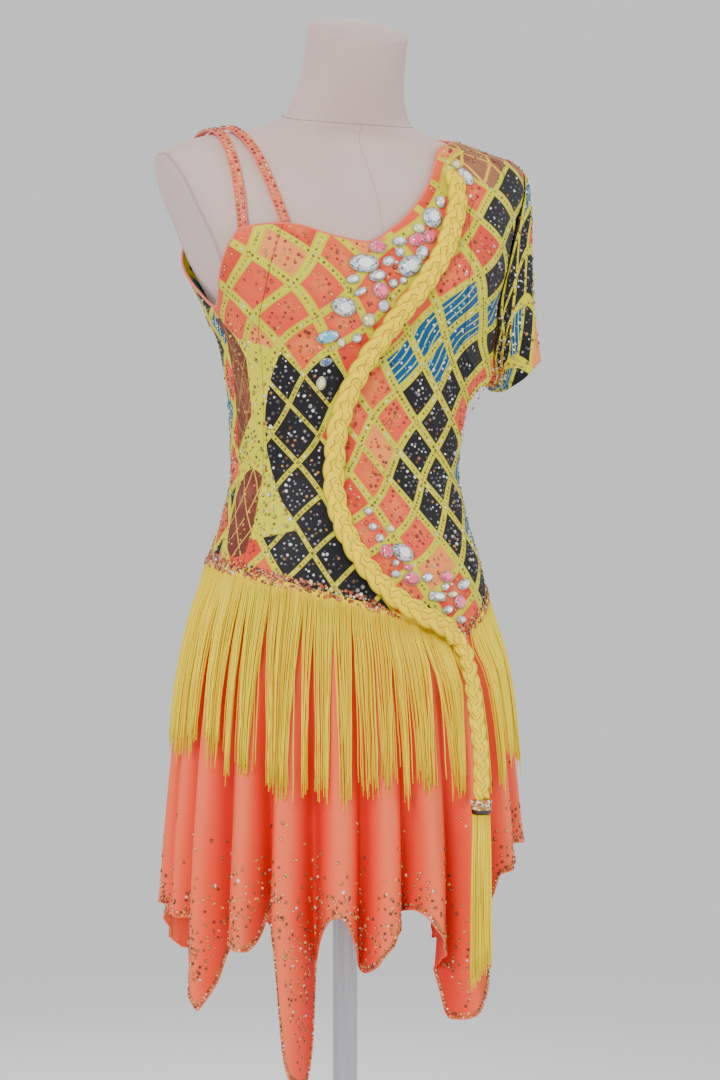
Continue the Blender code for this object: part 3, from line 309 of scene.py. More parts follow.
def smooth(at, knots, values):
    """Curve through (knot, value) pairs that never overshoots them."""
    knots, values = np.asarray(knots, float), np.asarray(values, float)
    step = np.diff(knots)
    climb = np.diff(values) / step
    slope = np.concatenate((climb[:1], np.zeros(len(climb) - 1), climb[-1:]))
    steady = climb[:-1] * climb[1:] > 0
    both = np.where(steady, climb[:-1] + climb[1:], 1.0)
    slope[1:-1] = np.where(steady, 2.0 * climb[:-1] * climb[1:] / both, 0.0)
    at = np.asarray(at, dtype=float)
    piece = np.clip(np.searchsorted(knots, at, side="right") - 1, 0, len(step) - 1)
    t = (at - knots[piece]) / step[piece]
    start, end = values[piece], values[piece + 1]
    leave, arrive = slope[piece] * step[piece], slope[piece + 1] * step[piece]
    return (start * (2 * t ** 3 - 3 * t ** 2 + 1) + leave * (t ** 3 - 2 * t ** 2 + t)
            + end * (3 * t ** 2 - 2 * t ** 3) + arrive * (t ** 3 - t ** 2))


def read(table, at, *columns):
    """Smooth curves through columns of a table, looked up by its first column."""
    return [smooth(at, table[:, 0], table[:, k]) for k in columns]


def ease(t):
    """Smooth step from 0 to 1."""
    t = np.clip(t, 0.0, 1.0)
    return t * t * (3.0 - 2.0 * t)


def wrapped(turn):
    """The same turn between -180 and +180 degrees."""
    return (np.asarray(turn, dtype=float) + 180.0) % 360.0 - 180.0


def from_side(turn):
    """Degrees between a turn and the nearer side of the body."""
    return np.abs(np.abs(wrapped(turn)) - 90.0)


def unit(vectors):
    """Vectors scaled to length 1."""
    return vectors / np.maximum(np.linalg.norm(vectors, axis=-1, keepdims=True), 1e-12)


def oval(turn, half_width, front, back, squareness):
    """x and y of a rounded section: an ellipse pushed out towards its corners."""
    side, ahead = np.sin(np.radians(turn)), np.cos(np.radians(turn))
    push = (np.abs(side) ** squareness + np.abs(ahead) ** squareness) ** (-1.0 / squareness)
    return half_width * push * side, -np.where(ahead > 0, front, back) * push * ahead


def radial(turn):
    """Level unit vectors that point outward at a turn."""
    turn = np.radians(np.asarray(turn, float))
    return np.stack((np.sin(turn), -np.cos(turn), np.zeros_like(turn)), -1)


def bearing(angle):
    """Level unit vectors at an angle from +X."""
    return np.stack((np.cos(angle), np.sin(angle), np.zeros_like(angle)), -1)


def bumps(x, y, rows):
    """Sum of soft round rises: each row is x, y, reach in x, reach in y, height."""
    total = 0.0
    for cx, cy, rx, ry, height in rows:
        total = total + height * np.exp(-((x - cx) / rx) ** 2 - ((y - cy) / ry) ** 2)
    return total


def travelled(points):
    """Way along a line of points, from its start."""
    return np.concatenate(([0.0], np.cumsum(np.linalg.norm(np.diff(points, axis=0), axis=1))))


def between(at, way, values):
    """Rows of values at places along a way, in straight steps."""
    return np.stack([np.interp(at, way, values[:, k]) for k in range(values.shape[1])], -1)


def curve_through(points, count):
    """Evenly spaced points of a smooth curve through the given ones."""
    points = np.asarray(points, dtype=float)
    walk = travelled(points)
    fine = np.linspace(0, walk[-1], 12 * count)
    curve = np.stack([smooth(fine, walk, points[:, k]) for k in range(points.shape[1])], -1)
    way = travelled(curve)
    return between(np.linspace(0, way[-1], count), way, curve)


def line_frame(line, like):
    """Side and outward directions along a line, the outward ones kept near to given ones."""
    ahead = unit(np.gradient(line, axis=0))
    side = unit(np.cross(np.broadcast_to(like, line.shape), ahead))
    return side, unit(np.cross(ahead, side))


# ------------------------ the form and what lies on it


def past_plate(x, height):
    """How far out a place lies past the flat armhole plate, which leans in above its middle."""
    up = height - PLATE_LEVEL
    return np.abs(x) - PLATE_X - np.where(up > 0, PLATE_LEAN_UP * up, -PLATE_LEAN_DOWN * up)


def form_point(turn, along):
    """Form's surface: ovals of the level table, swollen at the bust, cut by the armhole plates."""
    height, half, front, back, centre = read(FORM_LEVELS, along, 1, 2, 3, 4, 5)
    squareness = 2.4 - 0.4 * ease((np.asarray(along) - 1.440) / 0.060)
    x, y = oval(turn, half, front, back, squareness)
    facing = np.exp(-((np.abs(wrapped(turn)) - BUST_TURN) / 25.0) ** 2)
    y = y * (1 + BUST_SWELL * facing * np.exp(-((along - BUST_LEVEL) / 0.052) ** 2))
    soft = PLATE_EDGE * np.log1p(np.exp(np.clip(past_plate(x, height) / PLATE_EDGE, -30, 30)))
    x = np.sign(x) * (np.abs(x) - soft)
    lean = NECK_LEAN * ease((height - 1.40) / 0.09)
    return np.stack(np.broadcast_arrays(x, centre + y, height + lean * y), -1)


def form_frame(turn, along):
    """Surface points with their level and upward directions and their outward normals."""
    turn, along = np.broadcast_arrays(np.asarray(turn, float), np.asarray(along, float))
    across = unit(form_point(turn + 1.5, along) - form_point(turn - 1.5, along))
    up = unit(form_point(turn, along + 0.003) - form_point(turn, along - 0.003))
    return form_point(turn, along), across, up, unit(np.cross(across, up))


def off_form(turn, along, out):
    """Points moved straight out from the form's surface."""
    points, _, _, normal = form_frame(turn, along)
    return points + normal * np.asarray(out)[..., None]


def side_drape(turn, along):
    """How far the left side hangs clear below the arm, on its way out to the sleeve."""
    beside = 1 - ease(np.abs(wrapped(turn) - 90.0) / SIDE_DRAPE_TURN)
    level = np.clip((along - SIDE_DRAPE_FROM) / (SIDE_DRAPE_FULL - SIDE_DRAPE_FROM), 0, 1) ** 1.9
    fall = 1 - ease((along - SIDE_DRAPE_FULL) / (SIDE_DRAPE_TO - SIDE_DRAPE_FULL))
    return SIDE_DRAPE * beside * level * fall


def cloth_gap(turn, along):
    """Clearance of the cloth from the form, more round the armholes and under the left arm."""
    beside = 1 - ease((from_side(turn) - 42.0) / 14.0)
    level = ease((along - 1.150) / 0.03) * ease((1.385 - along) / 0.03)
    return FORM_GAP + 0.0042 * beside * level + side_drape(turn, along)


def line_height(turn):
    """Height of the bodice's lower edge."""
    return read(LINE, wrapped(turn), 1)[0]


def trace(table, share):
    """Turn and way along at a share of an edge's table."""
    return np.stack(read(table, share, 1, 2), -1)


def front_half(turn):
    """The front half keeps its turns."""
    return turn


def back_half(turn):
    """The back half mirrors the front's turns."""
    return 180.0 - turn


def side_edge(armhole, share, side_turn, half):
    """A side seam up to the underarm and the armhole's edge above it."""
    foot = line_height(half(side_turn)) + SEAM_GAP
    underarm = armhole[0, 2]
    seam = np.stack(np.broadcast_arrays(
        side_turn, foot + (underarm - foot) * share / UNDERARM_SHARE), -1)
    return np.where((share > UNDERARM_SHARE)[..., None],
                    trace(armhole, np.maximum(share, UNDERARM_SHARE)), seam)


def bodice_place(across, up, half):
    """Turn and way along inside the bodice: straight from foot to neckline, pulled to its sides."""
    across, up = np.broadcast_arrays(np.asarray(across, float), np.asarray(up, float))
    foot_turn = -90.0 + 180.0 * across
    foot = np.stack((foot_turn, line_height(half(foot_turn)) + SEAM_GAP), -1)
    top = trace(NECKLINE, across)
    right = side_edge(RIGHT_ARMHOLE, up, -90.0, half)
    left = side_edge(LEFT_ARMHOLE, up, 90.0, half)
    s, t = across[..., None], up[..., None]
    zero, one = np.zeros_like(across), np.ones_like(across)
    plain_right = (1 - t) * side_edge(RIGHT_ARMHOLE, zero, -90.0, half) + t * trace(NECKLINE, zero)
    plain_left = (1 - t) * side_edge(LEFT_ARMHOLE, zero, 90.0, half) + t * trace(NECKLINE, one)
    place = ((1 - t) * foot + t * top + (1 - s) ** 4 * (right - plain_right)
             + s ** 4 * (left - plain_left))
    edge = 90.0 - SEAM_TURN
    return np.clip(place[..., 0], -edge, edge), place[..., 1]


GIRTH_TURNS = np.linspace(-360.0, 360.0, 1441)
GIRTH_WALK = travelled(form_point(GIRTH_TURNS, np.full_like(GIRTH_TURNS, 1.10)))
GIRTH_WALK -= GIRTH_WALK[len(GIRTH_WALK) // 2]


def girth(turn):
    """Way round the body from the centre front, in metres."""
    return np.interp(turn, GIRTH_TURNS, GIRTH_WALK)


def sleeve_point(around, down):
    """Sleeve: out from the armhole's edge, over and down to a wavy oval hem."""
    around, down = np.broadcast_arrays(np.asarray(around, float) % 1.0, np.asarray(down, float))
    share = np.abs(1.0 - 2.0 * around)
    place = trace(LEFT_ARMHOLE, UNDERARM_SHARE + (SHOULDER_SHARE - UNDERARM_SHARE) * share)
    turn = np.where(around < 0.5, place[..., 0], 180.0 - place[..., 0])
    root, _, _, normal = form_frame(turn, place[..., 1])
    root = root + normal * (cloth_gap(turn, place[..., 1]) + CLOTH)[..., None]
    root = root + np.array((SLEEVE_CLEAR, 0.0, 0.0))
    angle = 2 * np.pi * around
    folds = np.cos(SLEEVE_FOLDS * angle + 0.6) + 0.15 * np.cos(9 * angle + 2.0)
    waves = SLEEVE_FOLD_DEPTH * folds * ease(down)
    hem = np.stack((SLEEVE_HEM_X + (SLEEVE_HEM_HALF_X + waves) * np.cos(angle),
                    SLEEVE_HEM_Y - (SLEEVE_HEM_HALF_Y + waves) * np.sin(angle),
                    SLEEVE_HEM_HEIGHT - SLEEVE_HEM_DIP * (0.5 - 0.5 * np.cos(angle)) ** 1.5), -1)
    t = down[..., None]
    over = root + (1 - t) * np.array((SLEEVE_STAND_OUT, 0.0, -SLEEVE_SLOPE * SLEEVE_STAND_OUT))
    return root * (1 - t) ** 2 + over * 2 * t * (1 - t) + hem * t ** 2


def sleeve_wall(around, down):
    """Outer and inner faces of the sleeve, the inner one set in square to the outer."""
    outer = sleeve_point(around, down)
    across = sleeve_point(around + 0.003, down) - sleeve_point(around - 0.003, down)
    fall = sleeve_point(around, down + 0.004) - sleeve_point(around, down - 0.004)
    return outer, outer - unit(np.cross(across, fall)) * SHELL


def envelope(turn, height):
    """Surface that the skirt's crests touch, starting at the bodice's lower edge."""
    x, y = oval(turn, *read(FLARE, height, 1, 2, 3), 2.2)
    free = np.stack(np.broadcast_arrays(x, y, height), -1)
    line = line_height(turn)
    seam = off_form(turn, line, np.full_like(line, FORM_GAP + CLOTH))
    share = ease((line - height) / 0.05)[..., None]
    blend = seam * (1 - share) + free * share
    blend[..., 2] = free[..., 2]
    return blend


def fold_phase(turn):
    """Phase of the folds, a whole number at each crest, and the valley's depth there."""
    crest = np.concatenate((CRESTS[-1:, 0] - 360, CRESTS[:, 0], CRESTS[:1, 0] + 360))
    depth = np.concatenate((CRESTS[-1:, 1], CRESTS[:, 1], CRESTS[:1, 1]))
    turn = wrapped(turn)
    return np.interp(turn, crest, np.arange(len(crest))), smooth(turn, crest, depth)


def sunk_share(phase):
    """0 on a crest of the folds and 1 in the middle of a valley."""
    return 0.5 - 0.5 * np.cos(2 * np.pi * phase)


def hem_height(turn):
    """Height of the skirt's pointed hem, with small rounded scallops."""
    return read(HEM, wrapped(turn), 1)[0]


def skirt_point(turn, share, out=0.0):
    """Skirt: crests on the envelope, valleys sunk between them, the rolled hem curling a little."""
    turn, share = np.broadcast_arrays(np.asarray(turn, float), np.asarray(share, float))
    line = line_height(turn) - SEAM_GAP
    hem = hem_height(turn)
    height = line + (hem - line) * share
    phase, depth = fold_phase(turn)
    growth = np.clip((line - height - FOLD_START) / FOLD_REACH, 0, None) ** 0.90
    lean = FOLD_LEAN * np.minimum(growth, 1.0)
    shifted = turn + lean * 360.0 / len(CRESTS) / 2 * np.sin(2 * np.pi * phase) / math.pi
    sunk = depth * growth * sunk_share(phase) ** 1.35
    ripple = np.sin(6 * np.pi * phase + 0.02 * turn + 9 * height)
    sunk = sunk + RIPPLE * np.minimum(growth, 1) * ripple
    curl = HEM_CURL * np.exp(-(line - hem) * (1 - share) / 0.012) * np.sin(np.radians(turn) * 110)
    return envelope(shifted, height) + radial(shifted) * (out - sunk + curl)[..., None]


def braid_line(count):
    """Centre line of the sewn braid with its side and outward directions."""
    scale = np.array((0.0022, 1.0))
    places = curve_through(BRAID_ROUTE * scale, count) / scale
    points, _, _, normal = form_frame(places[:, 0], places[:, 1])
    low = ease((0.880 - places[:, 1]) / 0.035)
    seat = BRAID_SEAT + (BRAID_SEAT_AT_END - BRAID_SEAT) * low
    cloth = cloth_gap(places[:, 0], places[:, 1]) + CLOTH
    centre = points + normal * (cloth + seat + BRAID_HALF_THICKNESS)[:, None]
    return centre, *line_frame(centre, normal)


def drop_line():
    """Centre line of the braid's free end, which leads on from the sewn part and hangs free."""
    centre, side, out = braid_line(78)
    ahead = unit(np.cross(side[-1], out[-1]))
    start = centre[-1] + ahead * SEAM_GAP
    points = [start + ahead * DROP_LEAD]
    for turn, height, clearance in DROP_ROUTE:
        points.append(envelope(np.array(turn), np.array(height)) + radial(turn) * clearance)
    points[-1][:2] = points[-2][:2]
    return np.concatenate((start[None], curve_through(points, 9)))


# ------------------------ shader maths


class Value:
    """A number socket of a shader; arithmetic on it adds Math nodes."""

    def __init__(self, finish, socket):
        self.finish, self.socket = finish, socket

    def math(self, operation, *others):
        """Result of one Math node on this number and others."""
        return self.finish.add("ShaderNodeMath", {"operation": operation},
                               dict(enumerate((self,) + others)))

    def __add__(self, other):
        return self.math("ADD", other)

    def __sub__(self, other):
        return self.math("SUBTRACT", other)

    def __mul__(self, other):
        return self.math("MULTIPLY", other)

    def __truediv__(self, other):
        return self.math("DIVIDE", other)

    def __rsub__(self, other):
        return self * -1.0 + other

    __radd__, __rmul__ = __add__, __mul__


def worked(name, operation):
    """One function for both arrays and sockets."""
    def function(x, *rest):
        if isinstance(x, Value):
            return x.math(operation, *rest)
        return getattr(np, name)(x, *rest)
    function.__doc__ = f"{name} of an array or a socket."
    return function


sine, floor = worked("sin", "SINE"), worked("floor", "FLOOR")
absolute, least = worked("abs", "ABSOLUTE"), worked("minimum", "MINIMUM")
most = worked("maximum", "MAXIMUM")


def above(x, limit):
    """1 where x is more than limit, 0 elsewhere."""
    if isinstance(x, Value):
        return x.math("GREATER_THAN", limit)
    return (x > limit).astype(float)


def rise(x, start, end):
    """Soft step of x from 0 at start to 1 at end."""
    if isinstance(x, Value):
        return x.finish.add("ShaderNodeMapRange", {"interpolation_type": "SMOOTHSTEP"},
                            {0: x, 1: start, 2: end, 3: 0.0, 4: 1.0})
    return ease((x - start) / (end - start))


def part_of(x):
    """What is left of x above its whole number."""
    return x - floor(x)


class Finish:
    """One material: a Principled shader and the nodes that vary its colour and relief."""

    def __init__(self, name, **constants):
        self.material = bpy.data.materials.new(name)
        self.material.use_nodes = True
        self.tree = self.material.node_tree
        self.shader = self.tree.nodes["Principled BSDF"]
        for socket, value in constants.items():
            self.shader.inputs[socket.replace("_", " ")].default_value = value

    def add(self, kind, settings=None, sockets=None, result=0):
        """Node of a type, with its settings and the values or links of its sockets."""
        node = self.tree.nodes.new(kind)
        for key, value in (settings or {}).items():
            if key == "stops":
                ramp = node.color_ramp
                while len(ramp.elements) < len(value):
                    ramp.elements.new(1.0)
                for element, (position, colour) in zip(ramp.elements, value):
                    element.position, element.color = position, (*colour, 1.0)
            elif key == "steps":
                node.color_ramp.interpolation = value
            else:
                setattr(node, key, value)
        for key, value in (sockets or {}).items():
            if isinstance(value, Value):
                self.tree.links.new(value.socket, node.inputs[key])
            elif value is not None:
                if isinstance(value, tuple) and len(value) == 3 and \
                        node.inputs[key].type == "RGBA":
                    value = (*value, 1.0)
                node.inputs[key].default_value = value
        return Value(self, node.outputs[result])

    def mix(self, share, first, second):
        """Colour between two colours."""
        return self.add("ShaderNodeMix", {"data_type": "RGBA"}, {0: share, 6: first, 7: second}, 2)

    def ramp(self, share, stops, steps="LINEAR"):
        """Colour from a ramp."""
        return self.add("ShaderNodeValToRGB", {"stops": stops, "steps": steps}, {0: share})

    def place(self):
        """Object coordinates."""
        return self.add("ShaderNodeTexCoord", None, None, 3)

    def cloth(self):
        """The two cloth coordinates, in metres, as numbers."""
        return self.parts(self.add("ShaderNodeUVMap", {"uv_map": "cloth"}), 2)

    def flat(self, u, v):
        """Vector of two numbers."""
        return self.add("ShaderNodeCombineXYZ", None, {0: u, 1: v})

    def noise(self, at, scale, detail=2.0):
        """Soft noise between 0 and 1."""
        return self.add("ShaderNodeTexNoise", None,
                        {"Vector": at, "Scale": scale, "Detail": detail})

    def parts(self, vector, count=3):
        """The first numbers of a vector."""
        return [self.add("ShaderNodeSeparateXYZ", None, {0: vector}, k) for k in range(count)]

    def own(self, name, result=2):
        """A number (2) or colour (0) attribute of the piece."""
        return self.add("ShaderNodeAttribute", {"attribute_name": name}, None, result)

    def set(self, socket, value):
        """Link a value into the shader."""
        self.tree.links.new(value.socket, self.shader.inputs[socket])

    def relief(self, height, strength, distance):
        """Bump from a height."""
        self.set("Normal", self.add("ShaderNodeBump", None, {
            "Strength": strength, "Distance": distance, "Height": height}))


def srgb(red, green, blue):
    """Colour from screen values of 0 to 255."""
    return tuple(float(((c / 255 + 0.055) / 1.055) ** 2.4 if c > 10.3 else c / 255 / 12.92)
                 for c in (red, green, blue))


# ------------------------ meshes


def volume(points, faces):
    """Signed volume between faces and the origin, from fans of triangles."""
    corner = points[faces].astype(float)
    total = 0.0
    for k in range(1, faces.shape[1] - 1):
        total += np.einsum("ij,ij->", corner[:, 0], np.cross(corner[:, k], corner[:, k + 1])) / 6
    return total


def add_piece(name, points, faces, finish, slot, smooth_shaded=True, uv=None, colours=None,
              numbers=None, replaces=(), closed=True):
    """Object of one mesh that rides on the form; quads and triangles are given as arrays.

    uv holds cloth coordinates for each point, colours a colour for each face, numbers a named
    number for each point.
    """
    mesh = bpy.data.meshes.new(name)
    points = np.ascontiguousarray(points, dtype=np.float32).reshape(-1, 3)
    groups = faces if isinstance(faces, list) else [faces]
    groups = [np.asarray(group, dtype=np.int32) for group in groups if len(group)]
    if closed and sum(volume(points, group) for group in groups) < 0:
        groups = [group[:, ::-1] for group in groups]
    corner = np.concatenate([group.ravel() for group in groups])
    sizes = np.concatenate([np.full(len(group), group.shape[1]) for group in groups])
    starts = np.concatenate(([0], np.cumsum(sizes)[:-1]))
    mesh.vertices.add(len(points))
    mesh.vertices.foreach_set("co", points.ravel())
    mesh.loops.add(len(corner))
    mesh.loops.foreach_set("vertex_index", corner)
    mesh.polygons.add(len(sizes))
    mesh.polygons.foreach_set("loop_start", starts.astype(np.int32))
    mesh.polygons.foreach_set("use_smooth", np.full(len(sizes), smooth_shaded))
    if uv is not None:
        layer = mesh.uv_layers.new(name="cloth")
        layer.data.foreach_set("uv", np.asarray(uv, np.float32).reshape(-1, 2)[corner].ravel())
    if colours is not None:
        layer = mesh.color_attributes.new("tint", "FLOAT_COLOR", "CORNER")
        four = np.concatenate((colours, np.ones((len(colours), 1))), axis=1)
        layer.data.foreach_set("color", np.repeat(four, sizes, axis=0).astype(np.float32).ravel())
    for key, values in (numbers or {}).items():
        layer = mesh.attributes.new(key, "FLOAT", "POINT")
        layer.data.foreach_set("value", np.asarray(values, np.float32).ravel())
    mesh.update(calc_edges=True)
    mesh.validate()
    piece = bpy.data.objects.new(name, mesh)
    bpy.context.collection.objects.link(piece)
    mesh.materials.append(finish.material)
    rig.ride(piece, "root")
    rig.slot(piece, slot)
    if replaces:
        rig.replaces(piece, *replaces)
    return piece


def grid_quads(rows, columns, wrap=False):
    """Quads of a grid whose points are stored row by row."""
    last = columns if wrap else columns - 1
    j, i = np.meshgrid(np.arange(rows - 1), np.arange(last), indexing="ij")
    k = (i + 1) % columns
    return np.stack((j * columns + i, j * columns + k, (j + 1) * columns + k,
                     (j + 1) * columns + i), -1).reshape(-1, 4)


def shell(outer, inner, wrap=False):
    """Points and quads of a closed thin shell between two grids; outer faces point outward."""
    rows, columns = outer.shape[:2]
    count = rows * columns
    front = grid_quads(rows, columns, wrap)
    quads = [front, front[:, ::-1] + count]
    last = columns if wrap else columns - 1
    i = np.arange(last)
    k = (i + 1) % columns
    for base, flip in ((0, False), ((rows - 1) * columns, True)):
        rim = np.stack((base + i, base + i + count, base + k + count, base + k), -1)
        quads.append(rim[:, ::-1] if flip else rim)
    if not wrap:
        j = np.arange(rows - 1) * columns
        for edge, flip in ((0, True), (columns - 1, False)):
            a, b = j + edge, j + columns + edge
            rim = np.stack((a, a + count, b + count, b), -1)
            quads.append(rim[:, ::-1] if flip else rim)
    return np.concatenate((outer.reshape(-1, 3), inner.reshape(-1, 3))), np.concatenate(quads)


def capped(rings, line):
    """Points, quads and end fans of rings along a line."""
    count, sides = rings.shape[:2]
    i = np.arange(sides)
    k, last, total = (i + 1) % sides, (count - 1) * sides, count * sides
    caps = np.concatenate((np.stack((k, i, np.full(sides, total)), -1),
                           np.stack((last + i, last + k, np.full(sides, total + 1)), -1)))
    return (np.concatenate((rings.reshape(-1, 3), line[:1], line[-1:])),
            grid_quads(count, sides, True), caps)


def capped_uv(aside, way):
    """Cloth coordinates of capped rings: place across the section and way along it."""
    uv = np.stack(np.broadcast_arrays(aside[None], way[:, None]), -1)
    return np.concatenate((uv.reshape(-1, 2), np.zeros((2, 2))))


def tube(line, across, out, half_width, half_thickness, sides):
    """Oval sections along a line: cosine across and sine outward of one angle, with end fans."""
    angle = 2 * np.pi * np.arange(sides) / sides
    rings = (line[:, None] + across[:, None] * (half_width * np.cos(angle))[:, None]
             + out[:, None] * (half_thickness * np.sin(angle))[:, None])
    return capped(rings, line)


CUT_GRIDS = {}


def add_cloth(name, outer, inner, uv, finish, slot, numbers=None, wrap=False, replaced=None):
    """Thin shell in place of its solid; its flat size is read later from its outer grid."""
    points, quads = shell(outer, inner, wrap)
    CUT_GRIDS[name + "_cloth"] = np.concatenate((outer, outer[:, :1]), axis=1) if wrap else outer
    both_faces = {key: np.concatenate((own, own)) for key, own in (numbers or {}).items()}
    return add_piece(name + "_cloth", points, quads, finish, slot, uv=np.concatenate((uv, uv)),
                     numbers=both_faces, replaces=(replaced or name,))


def cut_sheet(piece, held, rests_on, stretch=1.0, with_pieces=(), folded=False, row=np.max):
    """Declare a cloth with its flat size: the longest row and column of its grid before stretch.

    A piece with a curved or pointed edge is as wide as its usual row, a folded strap half its ring.
    """
    grid = CUT_GRIDS[piece.name]
    width = row(np.linalg.norm(np.diff(grid, axis=1), axis=-1).sum(axis=1)) / stretch
    length = np.linalg.norm(np.diff(grid, axis=0), axis=-1).sum(axis=0).max()
    surface = np.zeros(len(piece.data.polygons))
    piece.data.polygons.foreach_get("area", surface)
    area = surface.sum() / 2 / stretch
    if folded:
        width, area = width / 2, None
    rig.sheet(piece, flat=(float(width), float(length)), held=held, rests_on=rests_on,
             area=None if area is None else float(area), with_pieces=list(with_pieces))


def joined(parts):
    """One set of points and of each kind of face from several parts."""
    shifts = np.cumsum([0] + [len(part[0]) for part in parts[:-1]])
    faces = [np.concatenate([group + shift for group, shift in zip(kind, shifts)])
             for kind in list(zip(*parts))[1:]]
    return np.concatenate([part[0] for part in parts]), *faces


# ------------------------ pattern of the bodice

LOZENGE_WIDTH, LOZENGE_HEIGHT = 0.049, 0.063
LOZENGE_STEP = 1.0 / math.hypot(1.0 / LOZENGE_WIDTH, 1.0 / LOZENGE_HEIGHT)
BAND_HALF, NARROW_BAND = 0.0043, 0.0024
FIELD_HALF = 0.0065


def warp(u, v):
    """How far slow waves push the lozenges sideways and along."""
    return (0.009 * sine(v * 23.0 + 1.3) + 0.005 * sine(u * 31.0 + v * 37.0),
            0.009 * sine(u * 21.0 + 0.7))


def trellis(u, v):
    """Two families of slanting bands, warped by slow waves; whole numbers lie on the bands."""
    aside, ahead = warp(u, v)
    p, q = (u + aside) / LOZENGE_WIDTH, (v + ahead) / LOZENGE_HEIGHT
    return p + q, p - q


def from_trellis(a, b):
    """Cloth place of a place in the trellis, found in steps from the place without its waves."""
    p, q = (a + b) * (LOZENGE_WIDTH / 2), (a - b) * (LOZENGE_HEIGHT / 2)
    u, v = p, q
    for _ in range(9):
        aside, ahead = warp(u, v)
        u, v = p - aside, q - ahead
    return u, v


def off_whole(a):
    """Distance from the nearest whole number."""
    return absolute(part_of(a + 0.5) - 0.5)


def band_distance(a, b):
    """Distance in metres from the nearest band's middle."""
    return least(off_whole(a) * LOZENGE_STEP, off_whole(b) * LOZENGE_STEP)


def within(x, low, high):
    """1 where x lies between two numbers, 0 elsewhere."""
    return above(x, low) * above(high - x, 0.0)


def beside_braid(u, v):
    """Way from the braid's middle, positive towards the left arm."""
    return u + 0.0675 - 2.97 * (v - 1.02) * (v - 1.02)


def band_half(u, v):
    """Half width of the lime bands, narrow in the dark net."""
    beside = beside_braid(u, v)
    narrow = rise(beside, -0.082, -0.070) * (1.0 - rise(beside, -0.004, 0.010))
    narrow = narrow * (1.0 - rise(v, 1.110, 1.140))
    return BAND_HALF - (BAND_HALF - NARROW_BAND) * narrow


def lime_field(u, v):
    """1 on the plain lime field between the right panel and the dark net."""
    border = (v - 1.055) * (v - 1.055) * 3.6 - 0.130
    field = (1.0 - rise(u - border, -0.0004, 0.0004)) * above(u, -0.20)
    field = field * rise(v - 0.25 * (u + 0.13), 0.9335, 0.9345)
    return field * (1.0 - rise(v + 0.30 * (u + 0.13), 1.1435, 1.1445))


def lozenge(a, b):
    """Chance number of the lozenge that a place lies in, and 1 where it is dark, blue or nude."""
    i, j = floor(a), floor(b)
    chance = part_of(i * 0.7549 + j * 0.5698 + 0.13)
    p, q = (i + j + 1.0) * (LOZENGE_WIDTH / 2), (i - j) * (LOZENGE_HEIGHT / 2)
    aside, ahead = warp(p, q)
    u, v = p - aside, q - ahead
    beside = beside_braid(u, v)
    front = within(u, -0.20, 0.19)
    net = within(beside, -0.092, 0.012) * above(1.116 - v, 0.0)
    ring = within(beside, 0.084, 0.168) * above(1.165 - v, 0.0)
    arm = above(u, 0.096) * above(v, 1.165)
    blue = within(beside, 0.046, 0.108) * within(v, 1.100, 1.212)
    side = above(beside, 0.168) * above(1.060 - v, 0.0)
    behind = (1.0 - front) * within(chance, 0.42, 0.60)
    blue = most(front * most(blue, side), behind)
    dark = most(front * most(net, most(ring, arm)), (1.0 - front) * above(chance, 0.60))
    nude = above(v, 1.335) * above(0.105 - absolute(u - 0.181), 0.0)
    return chance, dark * (1.0 - blue) * (1.0 - nude), blue * (1.0 - nude), nude


# ------------------------ finishes

RED_CORAL, CORAL, ORANGE = srgb(222, 62, 44), srgb(240, 84, 58), srgb(248, 146, 74)
LIME, INK, NUDE = srgb(222, 216, 34), srgb(20, 20, 24), srgb(196, 140, 100)
TEAL, MAROON, GOLD = srgb(6, 66, 112), srgb(92, 34, 26), srgb(226, 176, 60)
# the last colour here is the painted shade of the skirt's fold valleys
YELLOW, SKIRT_CORAL, SKIRT_PAINTED_SHADE = (1.0, 0.73, 0.0), (1.0, 0.125, 0.045), (0.70, 0.010, 0.002)


KNIT_PITCH = 0.0011


def weave(u, v):
    """Height of a plain knit: two crossed waves."""
    turn = 2 * math.pi / KNIT_PITCH
    return sine(u * turn) * sine(v * turn) * 0.5 + 0.5


def form_finish():
    """Pinkish-beige jersey with a seam round the neck, down the front and round the plates."""
    f = Finish("form_cloth", Roughness=0.86, Sheen_Weight=0.25, Sheen_Roughness=0.6)
    u, v = f.cloth()
    mottled = f.noise(f.place(), 9.0, 4.0)
    fine = f.noise(f.place(), 240.0, 2.0)
    neck, front, plate = f.own("neck_seam"), f.own("front_seam"), f.own("plate_seam")
    line = 1.0 - least(least(rise(absolute(neck), 0.0003, 0.0013),
                             rise(absolute(front), 0.0002, 0.0008) * 0.55 + 0.45),
                       rise(absolute(plate), 0.0004, 0.0016) * 0.5 + 0.5)
    cloth = f.mix(mottled, srgb(198, 168, 158), srgb(216, 190, 181))
    cloth = f.mix(fine * 0.16, cloth, srgb(178, 150, 142))
    f.set("Base Color", f.mix(line * 0.75, cloth, srgb(124, 98, 92)))
    f.relief(weave(u, v) * 0.25 + fine * 0.5 - line * 1.6, 0.35, 0.0006)
    return f


